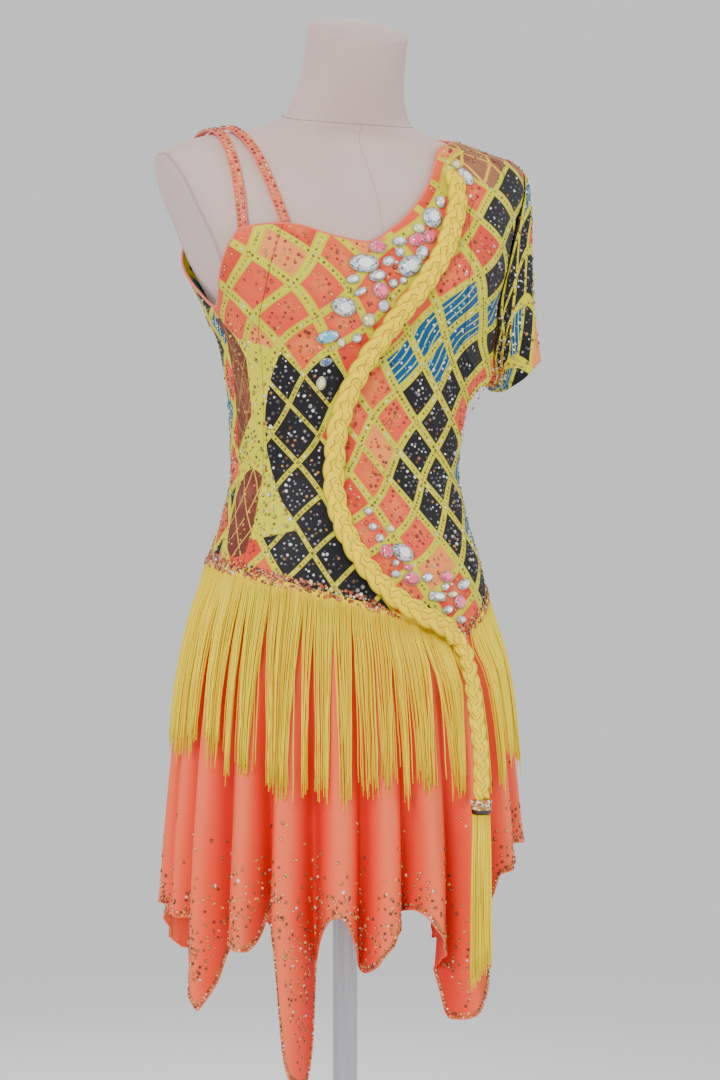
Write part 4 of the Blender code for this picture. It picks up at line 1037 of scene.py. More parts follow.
def print_parts(f, u, v):
    """Colour, roughness and height of the print at a cloth place."""
    a, b = trellis(u, v)
    chance, dark, blue, nude = lozenge(a, b)
    edge, half = band_distance(a, b), band_half(u, v)
    grain = f.noise(f.place(), 60.0, 3.0)
    slow = f.noise(f.place(), 26.0, 2.0)
    plain = f.ramp(chance, ((0.0, RED_CORAL), (0.22, CORAL), (0.40, ORANGE), (0.55, CORAL),
                            (0.70, srgb(236, 98, 56)), (0.85, CORAL)), "CONSTANT")
    middle = rise(edge, 0.004, 0.019) * rise(slow, 0.30, 0.72)
    plain = f.mix(middle * 0.80, plain, ORANGE)
    plain = f.mix(grain * 0.25, plain, f.mix(0.5, plain, RED_CORAL))
    inked = f.mix(grain * 0.35, INK, srgb(50, 48, 54))
    along_cord = u * 0.85 - v * 0.5 + 0.0035 * sine(v * 70.0 + u * 30.0)
    cord = rise(sine(along_cord * (2 * math.pi / 0.0078)), 0.72, 0.92)
    blued = f.mix(cord, f.mix(grain, TEAL, srgb(16, 96, 146)), srgb(206, 218, 84))
    p, q = u / 0.024, v / 0.050
    net_line = least(off_whole(p + q), off_whole(p - q))
    meshed = f.mix(1.0 - rise(net_line, 0.035, 0.075), f.mix(slow, NUDE, MAROON),
                   srgb(240, 186, 60))
    colour = f.mix(blue, f.mix(dark, plain, inked), blued)
    colour = f.mix(nude, colour, meshed)
    band = most((1.0 - rise(edge - half, -0.0003, 0.0003)) * (1.0 - nude), lime_field(u, v))
    stitch = 1.0 - rise(absolute(edge - half + 0.0009), 0.0001, 0.0004)
    lime = f.mix(grain * 0.6, LIME, srgb(196, 186, 20))
    lime = f.mix(stitch * 0.35, lime, srgb(140, 132, 20))
    rough = 0.62 - dark * 0.10 - blue * 0.12 + grain * 0.08
    height = (band + cord * blue * 0.6 + weave(u, v) * 0.10 + grain * 0.12
              - stitch * band * 0.5)
    return f.mix(band, colour, lime), rough, height


def print_finish():
    """Stretch cloth of lozenges edged with lime bands."""
    f = Finish("bodice_print", Specular_IOR_Level=0.2)
    colour, rough, height = print_parts(f, *f.cloth())
    f.set("Base Color", colour)
    f.set("Roughness", rough)
    f.relief(height, 0.55, 0.0009)
    return f


def sequins(f, u, v, pitch, first, second, third):
    """Colour and height of small overlapping sequins, each with its own tone."""
    setting = {"voronoi_dimensions": "2D"}
    sockets = {"Vector": f.flat(u, v), "Scale": 1.0 / pitch, "Randomness": 0.55}
    own = f.add("ShaderNodeSeparateXYZ", None,
                {0: f.add("ShaderNodeTexVoronoi", setting, sockets, 1)}, 0)
    dome = f.add("ShaderNodeTexVoronoi", setting, sockets, 0)
    colour = f.ramp(own, ((0.0, first), (0.45, second), (0.80, third), (0.93, GOLD)), "CONSTANT")
    return colour, 1.0 - dome + own * 0.8


def sequin_share(u, v):
    """1 in the lens of white sequins below the left armhole, and 1 on the lime border round it."""
    x, y = (u - 0.151) / 0.027, (v - 1.050) / 0.060
    reach = x * x + y * y
    lens = 1.0 - rise(reach, 0.99, 1.01)
    return lens, rise(reach, 0.99, 1.01) * (1.0 - rise(reach, 1.31, 1.33))


def inset_finish():
    """The print, and below the armhole a lens of small white and lavender sequins."""
    f = Finish("inset_sequin", Specular_IOR_Level=0.35)
    u, v = f.cloth()
    colour, rough, height = print_parts(f, u, v)
    white, domes = sequins(f, u, v, 0.0024, srgb(226, 222, 230), srgb(190, 182, 212),
                           srgb(240, 228, 214))
    here, border = sequin_share(u, v)
    f.set("Base Color", f.mix(here, f.mix(border, colour, LIME), white))
    f.set("Roughness", rough * (1.0 - here) + 0.35 * here)
    f.relief(height * (1.0 - here) + domes * here, 0.6, 0.0008)
    return f


def mesh_share(u, v):
    """1 on the fine mesh of the right panel: a long wedge above and a lens below it."""
    taper = 0.5 * most(v - 1.13, 0.0) + 0.8 * most(1.068 - v, 0.0)
    wedge = (1.0 - rise(u + 0.149 + taper, -0.0004, 0.0004)) * above(v, 1.029)
    x, y = (u + 0.149) * 37.0, (v - 0.963) * 21.0
    return most(wedge * above(1.176 - v, 0.0), 1.0 - rise(x * x + y * y, 0.98, 1.02))


def mesh_finish():
    """The print's lime with brown-rose mesh: short gold hairs above, a gold net below."""
    f = Finish("side_sequin", Specular_IOR_Level=0.3)
    u, v = f.cloth()
    printed, rough, height = print_parts(f, u, v)
    slow = f.noise(f.place(), 22.0, 3.0)
    grain = f.noise(f.place(), 260.0, 2.0)
    cloth = f.mix(slow, MAROON, srgb(140, 66, 52))
    cloth = f.mix(rise(slow, 0.58, 0.80) * 0.5, cloth, srgb(196, 122, 92))
    cloth = f.mix(grain * 0.3, cloth, srgb(60, 22, 18))
    hairs = rise(f.noise(f.flat(u * 700.0 + v * 120.0, v * 60.0), 1.0, 2.0), 0.56, 0.68)
    wave = 0.10 * sine(v * 60.0)
    p, q = u / 0.021 + v / 0.042, u / 0.021 - v / 0.042
    near = least(off_whole(p + wave), off_whole(q - wave)) * 0.0188
    low = 1.0 - rise(v, 1.010, 1.040)
    line = (1.0 - rise(near, 0.0005, 0.0010)) * (0.35 + 0.65 * low)
    fine = hairs * (1.0 - low) * 0.6
    here = mesh_share(u, v)
    f.set("Base Color", f.mix(here, printed, f.mix(most(line, fine), cloth, GOLD)))
    f.set("Roughness", rough * (1.0 - here) + (0.52 + grain * 0.1) * here)
    f.relief(height * (1.0 - here) + (line + fine * 0.5 + grain * 0.4) * here, 0.6, 0.0008)
    return f


def skirt_finish():
    """Coral satin-faced stretch cloth, deeper and redder in the valleys of its folds."""
    f = Finish("skirt_satin", Specular_IOR_Level=0.2)
    sunk = f.own("sunk")
    u, v = f.cloth()
    slow = f.noise(f.place(), 7.0, 3.0)
    grain = f.noise(f.flat(u * 900.0, v * 160.0), 1.0, 2.0)
    light = f.mix(slow, (1.0, 0.165, 0.065), SKIRT_CORAL)
    # painted shade: by the sunk share the coral turns deeper and redder towards the fold valleys
    half_shaded = f.mix(rise(sunk, 0.02, 0.40), light, (0.95, 0.062, 0.018))
    colour = f.mix(rise(sunk, 0.30, 0.90), half_shaded, SKIRT_PAINTED_SHADE)
    colour = f.mix(grain * 0.05, colour, srgb(255, 140, 108))
    f.set("Base Color", colour)
    f.set("Roughness", 0.46 + slow * 0.10 + sunk * 0.10)
    f.relief(grain * 0.6 + slow * 0.2, 0.18, 0.0005)
    return f


def thread_finish():
    """Silky yellow threads, each with its own tone, darker towards their roots."""
    light, middle, deep = (1.0, 0.82, 0.01), (1.0, 0.68, 0.0), (0.62, 0.36, 0.0)
    # the faint yellow emission is a painted glow
    f = Finish("fringe_yellow", Specular_IOR_Level=0.12, Emission_Color=(*light, 1.0),
               Emission_Strength=0.05)
    tone, root = f.own("tone"), f.own("root")
    twist = f.noise(f.place(), 900.0, 1.0)
    colour = f.ramp(tone, ((0.0, deep), (0.40, middle), (0.75, light)))
    # painted shade: the threads darken towards their roots
    f.set("Base Color", f.mix(root * 0.30 + twist * 0.10, colour, deep))
    f.set("Roughness", 0.42 + tone * 0.18)
    f.relief(twist, 0.35, 0.0003)
    return f


def braid_finish():
    """Bright yellow puffed cloth tubes with fine creases and a thin green zigzag stitch."""
    # the faint yellow emission is a painted glow
    f = Finish("braid_yellow", Specular_IOR_Level=0.10, Emission_Color=(1.0, 0.76, 0.0, 1.0),
               Emission_Strength=0.06)
    groove, around, way = f.own("groove"), f.own("around"), f.own("way")
    crease = f.noise(f.flat(around * 1.2, way * 520.0), 1.0, 3.0)
    broad = f.noise(f.flat(around * 0.6, way * 150.0), 1.0, 2.0)
    colour = f.mix(broad * 0.6, YELLOW, (0.96, 0.60, 0.0))
    # painted shade: olive darkening on the sides of each strand, in the grooves where the strands meet
    colour = f.mix(rise(groove, 0.70, 1.0) * 0.7, colour, srgb(150, 146, 40))
    zigzag = absolute(part_of(way / 0.0105) - 0.5) * 1.3 - 0.325
    thread = (1.0 - rise(absolute(around - zigzag - 0.2), 0.05, 0.10)) * rise(broad, 0.30, 0.42)
    colour = f.mix(thread * 0.9, colour, srgb(44, 74, 50))
    f.set("Base Color", colour)
    f.set("Roughness", 0.56 + broad * 0.10)
    f.relief(crease * 0.7 + broad * 0.9 - groove * 0.3 - thread * 0.3, 0.5, 0.0010)
    return f


def tint_finish(name, roughness, metallic, coat, specular, painted_glint):
    """Glass or metal whose colour is given facet by facet."""
    f = Finish(name, Roughness=roughness, Metallic=metallic, Coat_Weight=coat,
               Coat_Roughness=0.03, Specular_IOR_Level=specular)
    # painted sparkle: fine noise that pales the colour towards near-white
    painted_sparkle = f.noise(f.place(), 700.0, 1.0)
    tint = f.own("tint", 0)
    f.set("Base Color", f.mix(painted_sparkle * painted_glint, tint, (0.95, 0.93, 0.92)))
    return f


def strap_finish():
    """Coral stretch cloth with a fine knit and stitched edges."""
    f = Finish("strap_coral", Roughness=0.58, Sheen_Weight=0.25)
    u, v = f.cloth()
    grain = f.noise(f.place(), 90.0, 3.0)
    edge = 1.0 - rise(absolute(absolute(u) - 0.0042), 0.0001, 0.0004)
    f.set("Base Color", f.mix(edge * 0.35 + grain * 0.2, srgb(246, 112, 82), srgb(206, 64, 44)))
    f.relief(weave(u, v) * 0.3 + grain * 0.3 - edge, 0.4, 0.0006)
    return f


def metal_finish():
    """Brushed satin steel, its brushing drawn out along the height."""
    f = Finish("stand_metal", Metallic=1.0, Anisotropic=0.3)
    at = f.place()
    x, y, z = f.parts(at)
    drawn = f.add("ShaderNodeCombineXYZ", None, {0: x * 900.0, 1: y * 900.0, 2: z * 14.0})
    brushed = f.noise(drawn, 1.0, 2.0)
    smear = f.noise(at, 5.0, 3.0)
    f.set("Base Color", f.mix(brushed, srgb(168, 168, 172), srgb(206, 206, 210)))
    f.set("Roughness", 0.24 + brushed * 0.12 + smear * 0.08)
    f.relief(brushed, 0.12, 0.0003)
    return f


# ------------------------ small stones and cut stones

SEED = 20260
GLINT = {
    # kind: its three tints in screen values
    "amber": ((206, 84, 16), (238, 138, 44), (156, 46, 12)),
    "gold": ((190, 132, 50), (222, 172, 84), (130, 82, 28)),
    "clear": ((236, 232, 236), (206, 214, 226), (248, 236, 214)),
    "smoke": ((92, 88, 94), (58, 54, 60), (138, 132, 128)),
    "lime": ((196, 190, 96), (226, 220, 140), (150, 142, 60)),
    "peach": ((232, 158, 96), (246, 200, 146), (200, 116, 62)),
    "blue": ((60, 128, 176), (120, 180, 214), (24, 80, 128)),
    "rust": ((150, 40, 20), (186, 60, 28), (100, 24, 14)),
    "olive": ((134, 126, 22), (98, 88, 14), (170, 160, 44)),
    "jet": ((60, 56, 62), (90, 84, 90), (34, 32, 38)),
    "bronze": ((140, 88, 34), (180, 126, 54), (92, 54, 20)),
}


def kinds_by(pick, *steps):
    """Kind of each stone by a number from 0 to 1: each step is a kind and where it ends."""
    ends = [end for _, end in steps[:-1]]
    return np.array([kind for kind, _ in steps])[np.searchsorted(ends, pick, side="right")]


def strew(name, at, normal, radius, kinds, chance, finish):
    """Many small domed stones: a ring of six facets under a flat top, turned at random.

    Each stone has one of its kind's three tints, by its chance.
    """
    order = {kind: k for k, kind in enumerate(GLINT)}
    index = np.array([order[kind] for kind in kinds])
    tints = np.array([[srgb(*tint) for tint in three] for three in GLINT.values()])
    tints = tints[index, (chance * 3).astype(int) % 3]
    rng = np.random.default_rng(SEED + len(at))
    side = unit(np.cross(normal, rng.normal(size=normal.shape)))
    other = np.cross(normal, side)
    angle = np.arange(6) * np.pi / 3
    wheel = side[:, None] * np.cos(angle)[:, None] + other[:, None] * np.sin(angle)[:, None]
    points = np.concatenate([
        at[:, None] + radius[:, None, None] * (size * wheel + lift * normal[:, None])
        for lift, size in ((0.0, 1.0), (0.52, 0.62))], axis=1)
    first = 12 * np.arange(len(at))[:, None]
    k = (np.arange(6) + 1) % 6
    sides = np.stack((np.arange(6), k, k + 6, np.arange(6) + 6), -1)
    quads = (first[..., None] + sides).reshape(-1, 4)
    tops = first + np.arange(6, 12)
    # painted facet light and shade: each side facet is made lighter or darker at random
    painted_facet_light = rng.choice((0.22, 0.45, 0.8, 1.25), size=(len(at), 6))
    side_tint = (tints[:, None] * painted_facet_light[..., None]).reshape(-1, 3)
    # painted highlight: some tops are mixed towards a pale version of their tint
    painted_glint = rng.choice((0.02, 0.20, 0.65), size=(len(at), 1), p=(0.58, 0.30, 0.12))
    painted_highlight = 0.25 + 0.75 * tints / tints.max(axis=1, keepdims=True)
    top_tint = tints * (1 - painted_glint) + painted_highlight * painted_glint
    return add_piece(name, points, [quads, tops], finish, "stone_glass", smooth_shaded=False,
                     closed=False, colours=np.clip(np.concatenate((side_tint, top_tint)), 0, 1))


OUTLINES = {
    "oval": lambda a: 1.0 + 0.0 * a,
    "pear": lambda a: 1.0 + 0.20 * np.cos(a) ** 3 * (np.cos(a) > 0) - 0.04 * (np.cos(a) < 0),
    "navette": lambda a: 0.80 + 0.22 * np.abs(np.cos(a)) ** 3,
    "step": lambda a: 0.96 / np.maximum(np.abs(np.cos(a)), np.abs(np.sin(a))) ** 0.62,
}
# facet tints of the cut stones: besides each stone's colour they hold lighter and darker facet colours, painted
# reflections and shade
PALETTES = {
    "ice": ((0.96, 0.97, 1.0), (0.62, 0.74, 0.90), (0.90, 0.70, 0.84), (0.22, 0.28, 0.36),
            (0.98, 0.86, 0.60), (0.42, 0.76, 0.82), (0.10, 0.12, 0.16)),
    "rose": ((0.98, 0.04, 0.20), (1.0, 0.22, 0.36), (0.80, 0.01, 0.12), (1.0, 0.50, 0.56)),
    "lemon": ((0.92, 0.88, 0.42), (0.70, 0.64, 0.22), (0.98, 0.96, 0.72), (0.45, 0.46, 0.22)),
    "aqua": ((0.06, 0.52, 0.72), (0.46, 0.84, 0.92), (0.02, 0.22, 0.44), (0.92, 0.98, 0.98)),
    "navy": ((0.04, 0.14, 0.34), (0.30, 0.50, 0.72), (0.02, 0.06, 0.16), (0.70, 0.84, 0.92)),
    "lilac": ((0.72, 0.64, 0.92), (0.90, 0.86, 1.0), (0.42, 0.36, 0.66), (0.80, 0.90, 0.98)),
}


def cut_stone(row, number, seat, height):
    """Facets of a cut stone: setting rim, girdle, two crown rows turned half a step, flat table."""
    turn, along, length, width, tilt, outline, palette = row
    at, across, up, normal = stone_frame(turn, along, seat)
    rng = np.random.default_rng(SEED + 7 * number)
    sides = 16
    lean = math.radians(tilt)
    long_way = across * math.cos(lean) + up * math.sin(lean)
    short_way = np.cross(normal, long_way)
    rings = []
    for lift, size, turned in ((-0.10, 1.02, 0.0), (0.16, 1.05, 0.0), (0.20, 0.95, 0.0),
                               (0.46, 0.88, 0.5), (0.80, 0.68, 0.0), (1.0, 0.50, 0.5)):
        a = 2 * np.pi * (np.arange(sides) + turned) / sides
        reach = size * OUTLINES[outline](a)
        rings.append(at + (reach * np.cos(a) * length / 2)[:, None] * long_way
                     + (reach * np.sin(a) * width / 2)[:, None] * short_way
                     + lift * height * normal)
    points = np.concatenate(rings)
    i = np.arange(sides)
    k = (i + 1) % sides
    faces, tints = [], []
    metal, glass = np.array(srgb(150, 138, 120)), np.array(PALETTES[palette])
    for ring in range(5):
        low, high = ring * sides, (ring + 1) * sides
        if ring < 2:
            faces += [np.stack((low + i, low + k, high + k), -1),
                      np.stack((low + i, high + k, high + i), -1)]
            tints.append(np.tile(metal, (2 * sides, 1)))
        else:
            turned = ring % 2 == 0
            first = np.stack((low + i, low + k, high + i if turned else high + k), -1)
            last = (np.stack((high + i, low + k, high + k), -1) if turned
                    else np.stack((low + i, high + k, high + i), -1))
            faces += [first, last]
            # painted facet light, shade and reflection: each crown facet takes a palette colour at random, made darker
            # or lighter at random
            tints.append(glass[rng.integers(len(glass), size=2 * sides)]
                         * rng.uniform(0.55, 1.1, size=(2 * sides, 1)))
    flats = np.stack((5 * sides + i, i[::-1]))
    return points, np.concatenate(faces), flats, np.concatenate(tints + [glass[:1], metal[None]])


def stone_frame(turn, along, seat):
    """Seat of a stone on the cloth with its directions."""
    turn, along = np.array(turn), np.array(along)
    at, across, up, normal = form_frame(turn, along)
    return at + normal * (cloth_gap(turn, along) + CLOTH + seat)[..., None], across, up, normal


STONE_SEAT, STONE_HEIGHT = 0.0006, 0.0052
SEWN_SEAT, SEWN_HEIGHT = 0.0004, 0.0036
CAD_STONES = (
    # turn, along, length, width, tilt, outline, palette
    (17.0, 1.279, 0.024, 0.0215, 55.0, "pear", "ice"),
    (-10.5, 1.227, 0.036, 0.0195, 5.0, "oval", "ice"),
    (8.0, 1.226, 0.0265, 0.021, 30.0, "pear", "ice"),
    (-20.5, 1.182, 0.0255, 0.0195, 165.0, "pear", "ice"),
    (-4.0, 1.245, 0.0215, 0.0135, 5.0, "oval", "rose"),
    (10.5, 1.254, 0.018, 0.0145, 20.0, "pear", "rose"),
    (15.5, 1.258, 0.016, 0.0135, 40.0, "oval", "rose"),
    (-4.0, 1.2, 0.0205, 0.016, 155.0, "oval", "rose"),
    (-5.5, 1.215, 0.0215, 0.012, 15.0, "oval", "ice"),
    (12.5, 1.24, 0.0155, 0.0135, 60.0, "pear", "ice"),
    (-28.0, 1.151, 0.023, 0.014, 15.0, "pear", "aqua"),
    (-13.5, 1.198, 0.0175, 0.01, 25.0, "navette", "ice"),
    (4.5, 1.252, 0.0165, 0.0105, 5.0, "oval", "ice"),
    (-9.5, 1.169, 0.015, 0.0145, 160.0, "oval", "lemon"),
    (-0.5, 0.922, 0.015, 0.015, 175.0, "oval", "rose"),
    (7.5, 0.92, 0.0235, 0.0185, 150.0, "pear", "ice"),
    (10.0, 0.893, 0.019, 0.0145, 0.0, "oval", "rose"),
    (27.0, 0.895, 0.019, 0.013, 0.0, "oval", "rose"),
    (21.0, 0.874, 0.023, 0.0105, 175.0, "step", "ice"),
    (32.5, 0.8675, 0.017, 0.0145, 175.0, "oval", "rose"),
)
SEWN_STONES = (
    # turn, along, length, width, tilt, outline, palette
    (0.0, 1.231, 0.0145, 0.0105, 20.0, "oval", "ice"),
    (-16.0, 1.21, 0.017, 0.01, 10.0, "oval", "ice"),
    (36.0, 0.886, 0.0215, 0.0115, 15.0, "pear", "ice"),
    (-2.5, 1.184, 0.014, 0.0125, 145.0, "oval", "lilac"),
    (31.0, 1.33, 0.022, 0.02, 110.0, "pear", "ice"),
    (20.5, 1.299, 0.0155, 0.012, 80.0, "oval", "ice"),
    (12.0, 1.267, 0.0145, 0.012, 10.0, "oval", "lemon"),
    (4.5, 1.241, 0.011, 0.0105, 0.0, "oval", "ice"),
    (2.0, 1.208, 0.01, 0.0095, 0.0, "oval", "ice"),
    (6.0, 1.211, 0.009, 0.008, 0.0, "oval", "ice"),
    (-21.5, 1.145, 0.0105, 0.0095, 90.0, "oval", "lemon"),
    (-14.5, 1.15, 0.011, 0.0105, 0.0, "oval", "ice"),
    (-8.0, 0.965, 0.01, 0.0085, 0.0, "oval", "ice"),
    (-6.0, 0.948, 0.01, 0.0085, 0.0, "oval", "ice"),
    (2.5, 0.946, 0.0105, 0.0085, 0.0, "oval", "lemon"),
    (-3.0, 0.936, 0.01, 0.0095, 0.0, "oval", "ice"),
    (3.5, 0.91, 0.008, 0.0075, 0.0, "oval", "ice"),
    (9.0, 0.905, 0.0115, 0.0075, 0.0, "oval", "rose"),
    (3.0, 0.898, 0.0105, 0.0085, 0.0, "oval", "lilac"),
    (17.5, 0.894, 0.015, 0.0105, 10.0, "oval", "ice"),
    (25.5, 0.884, 0.0105, 0.0085, 0.0, "oval", "ice"),
    (29.0, 0.876, 0.014, 0.0075, 5.0, "oval", "lemon"),
    (26.0, 0.86, 0.015, 0.0085, 10.0, "oval", "ice"),
    (33.0, 0.849, 0.014, 0.0085, 0.0, "oval", "ice"),
    (29.0, 1.344, 0.0125, 0.0115, 90.0, "oval", "lemon"),
    (-30.5, 1.101, 0.0135, 0.0105, 80.0, "pear", "lemon"),
    (-28.5, 1.124, 0.0125, 0.0085, 20.0, "pear", "navy"),
)


def make_cut_stones(finish):
    """Each large stone in place of its solid, and one piece of the smaller sewn ones."""
    for number, row in enumerate(CAD_STONES, start=1):
        points, faces, table, tints = cut_stone(row, number, STONE_SEAT, STONE_HEIGHT)
        add_piece(f"cut_stone_{number:02d}", points, [faces, table], finish, "stone_glass", False,
                  colours=tints, replaces=(f"stone_{number:02d}",))
    stones = [cut_stone(row, number, SEWN_SEAT, SEWN_HEIGHT)
              for number, row in enumerate(SEWN_STONES, start=50)]
    points, faces, tables = joined([stone[:3] for stone in stones])
    tints = [stone[3][:-2] for stone in stones] + [stone[3][-2:] for stone in stones]
    add_piece("sewn_stones", points, [faces, tables], finish, "stone_glass", False,
              colours=np.concatenate(tints))


# ------------------------ form, bodice, sleeve, straps


def make_form(finish):
    """Fine torso and neck over the solid's form, with rounded edges, a hollow in each plate."""
    turns = np.arange(288) * 360.0 / 288
    along = np.concatenate((np.linspace(0.781, 1.330, 132), np.linspace(1.330, 1.592, 92)[1:]))
    turn, way = np.meshgrid(turns, along)
    rings = form_point(turn, way)
    side = np.sign(rings[..., :1])
    hollow = (1 - ease((from_side(turn) - 8.0) / 26.0)) * np.exp(
        -((way - 1.262) / 0.040) ** 2)
    rings = rings - np.array((1.0, 0.0, 0.0)) * side * 0.0035 * hollow[..., None]
    foot, crown = rings[0], form_point(turns, np.full_like(turns, NECK_TOP))
    middle = crown.mean(axis=0)
    low = [foot * (size, size, 1.0) - (0, 0, drop) for size, drop in (
        (0.0, 0.006), (0.6, 0.006), (0.962, 0.006), (0.985, 0.0045), (0.996, 0.002))]
    tops = [middle + (crown - middle) * size + np.array((0, 0, lift)) for size, lift in (
        (0.997, -0.0006), (0.985, 0.0012), (0.962, 0.0022), (0.5, 0.0026), (0.0, 0.0026))]
    grid = np.concatenate((np.array(low), rings, np.array(tops)))
    ways = np.concatenate((np.full(len(low), FORM_FOOT), along, np.full(len(tops), NECK_TOP)))
    turn, way = np.meshgrid(turns, ways)
    x, y, z = np.moveaxis(grid, -1, 0)
    no_seam = 0.05
    by_plate = (from_side(turn) < 60) & (way > 1.16) & (way < 1.36)
    plate_seam = np.where(by_plate, past_plate(form_point(turn, way)[..., 0], z) + 0.0042, no_seam)
    neck_seam = way - (1.497 - 0.022 * np.cos(np.radians(turn)))
    front_seam = np.where((np.abs(y) > 0.02) & (way < 1.59), x, no_seam)
    front_seam = np.where(neck_seam > 0, no_seam, front_seam)
    add_piece("torso_cover", grid, grid_quads(len(ways), len(turns), True), finish, "form_cloth",
              uv=np.stack((girth(turn), way), -1),
              numbers={"neck_seam": neck_seam, "front_seam": front_seam, "plate_seam": plate_seam},
              replaces=("form_torso",))


DRAG_LINES = (
    # turn, along, reach in turn, reach along, height
    (-66.0, 1.030, 20.0, 0.0055, 0.0011), (-58.0, 1.006, 16.0, 0.0045, 0.0009),
    (-72.0, 0.984, 17.0, 0.0060, 0.0010), (66.0, 1.026, 16.0, 0.0050, 0.0010),
    (74.0, 1.004, 15.0, 0.0050, 0.0008), (20.0, 1.016, 22.0, 0.0060, 0.0007),
    (-80.0, 1.168, 12.0, 0.0050, 0.0010), (72.0, 1.150, 12.0, 0.0050, 0.0009),
    (120.0, 1.024, 22.0, 0.0055, 0.0010), (210.0, 1.012, 26.0, 0.0060, 0.0011),
    (165.0, 0.992, 24.0, 0.0055, 0.0009), (240.0, 1.036, 18.0, 0.0050, 0.0009),
    (185.0, 1.046, 20.0, 0.0060, 0.0007), (45.0, 0.905, 14.0, 0.0080, 0.0009),
)


def bodice_out(turn, along):
    """Height of the cloth's face off the form: its clearance, its thickness and soft drag lines."""
    whole = np.where(wrapped(turn) < -90.001, wrapped(turn) + 360.0, wrapped(turn))
    return cloth_gap(turn, along) + CLOTH + bumps(whole, along, DRAG_LINES)


BODICE_PIECES = (
    # name, start, end, half, finish, columns
    ("bodice_side_right", 0.0, RIGHT_PANEL_SHARE, front_half, "side_sequin", 34),
    ("bodice_front", RIGHT_PANEL_SHARE, LEFT_PANEL_SHARE, front_half, "bodice_print", 150),
    ("bodice_side_left", LEFT_PANEL_SHARE, 1.0, front_half, "inset_sequin", 26),
    ("bodice_back", 0.0, 1.0, back_half, "bodice_print", 170),
)


def cloth_uv(turn, along):
    """Cloth coordinates of the bodice: way round the body and way along it, in metres."""
    return np.stack(np.broadcast_arrays(girth(turn), along), -1)


def make_bodice(finishes):
    """Front, two side panels and back as thin shells on the form."""
    sheets = {}
    for name, start, end, half, finish, columns in BODICE_PIECES:
        first = start + (SEAM_SHARE if start > 0 else 0.0)
        final = end - (SEAM_SHARE if end < 1 else 0.0)
        across, up = np.meshgrid(np.linspace(first, final, columns), np.concatenate(
            (np.linspace(0, UNDERARM_SHARE, 84), np.linspace(UNDERARM_SHARE, 1, 72)[1:])))
        turn, along = bodice_place(across, up, half)
        turn = half(turn)
        out = bodice_out(turn, along)
        sheets[name] = add_cloth(name, off_form(turn, along, out),
                                 off_form(turn, along, out - SHELL), cloth_uv(turn, along),
                                 finishes[finish], finish)
    return sheets


EDGE_RADIUS = 0.0015


def make_edges(finish):
    """Rolled neckline and armhole edges, front and back: a round section along each edge."""
    for side, half in (("front", front_half), ("back", back_half)):
        for edge, table, low in (("neck", NECKLINE, 0.0),
                                 ("right_armhole", RIGHT_ARMHOLE, UNDERARM_SHARE)):
            turn, along = trace(table, np.linspace(low, 1.0, 160)).T
            turn = half(np.clip(turn, -90 + SEAM_TURN, 90 - SEAM_TURN))
            line = off_form(turn, along, cloth_gap(turn, along) + CLOTH - EDGE_RADIUS * 0.6)
            normal = form_frame(turn, along)[3]
            across, _ = line_frame(line, normal)
            points, quads, caps = tube(line, across, normal, EDGE_RADIUS, EDGE_RADIUS, 8)
            add_piece(f"edge_{edge}_{side}", points, [quads, caps], finish, "strap_coral",
                      uv=capped_uv(np.linspace(0, 0.006, 8), travelled(line)))


def sleeve_uv(around, down):
    """Cloth coordinates of the sleeve, folded over at the arm's outer line."""
    return 0.070 + 0.32 * np.abs(around - 0.5), 1.325 - 0.190 * down


def make_sleeve(finish):
    """Open flared cap sleeve with soft upright folds."""
    around, down = np.meshgrid(np.arange(220) / 220, np.linspace(0, 1, 70) ** 0.9)
    return add_cloth("sleeve", *sleeve_wall(around, down),
                     np.stack(sleeve_uv(around, down), -1), finish, "bodice_print", wrap=True,
                     replaced="sleeve_left")


def strap_line(foot_x, top_x, foot, count):
    """Way of a strap over the shoulder, front foot to back foot, with its side and outward ways."""
    over = FORM_LEVELS[:, 0] > 1.330
    top = np.interp(top_x, FORM_LEVELS[over, 2][::-1], FORM_LEVELS[over, 0][::-1])
    walk = np.linspace(-1, 1, count)
    along = top - (top - foot) * np.abs(walk) ** 1.8
    half = smooth(along, FORM_LEVELS[:, 0], FORM_LEVELS[:, 2])
    share = np.clip((top_x + (foot_x - top_x) * walk ** 2) / half, 0, 1)
    ahead = (1 - share ** 2.4) ** (1 / 2.4)
    turn = -np.degrees(np.arctan2(share, ahead * -np.sign(walk)))
    points, _, _, normal = form_frame(turn, along)
    for _ in range(12):
        points[1:-1] = (points[:-2] + 2 * points[1:-1] + points[2:]) / 4
        normal[1:-1] = unit(normal[:-2] + 2 * normal[1:-1] + normal[2:])
    side = unit(np.cross(unit(np.gradient(points, axis=0)), normal))
    return points, side, normal


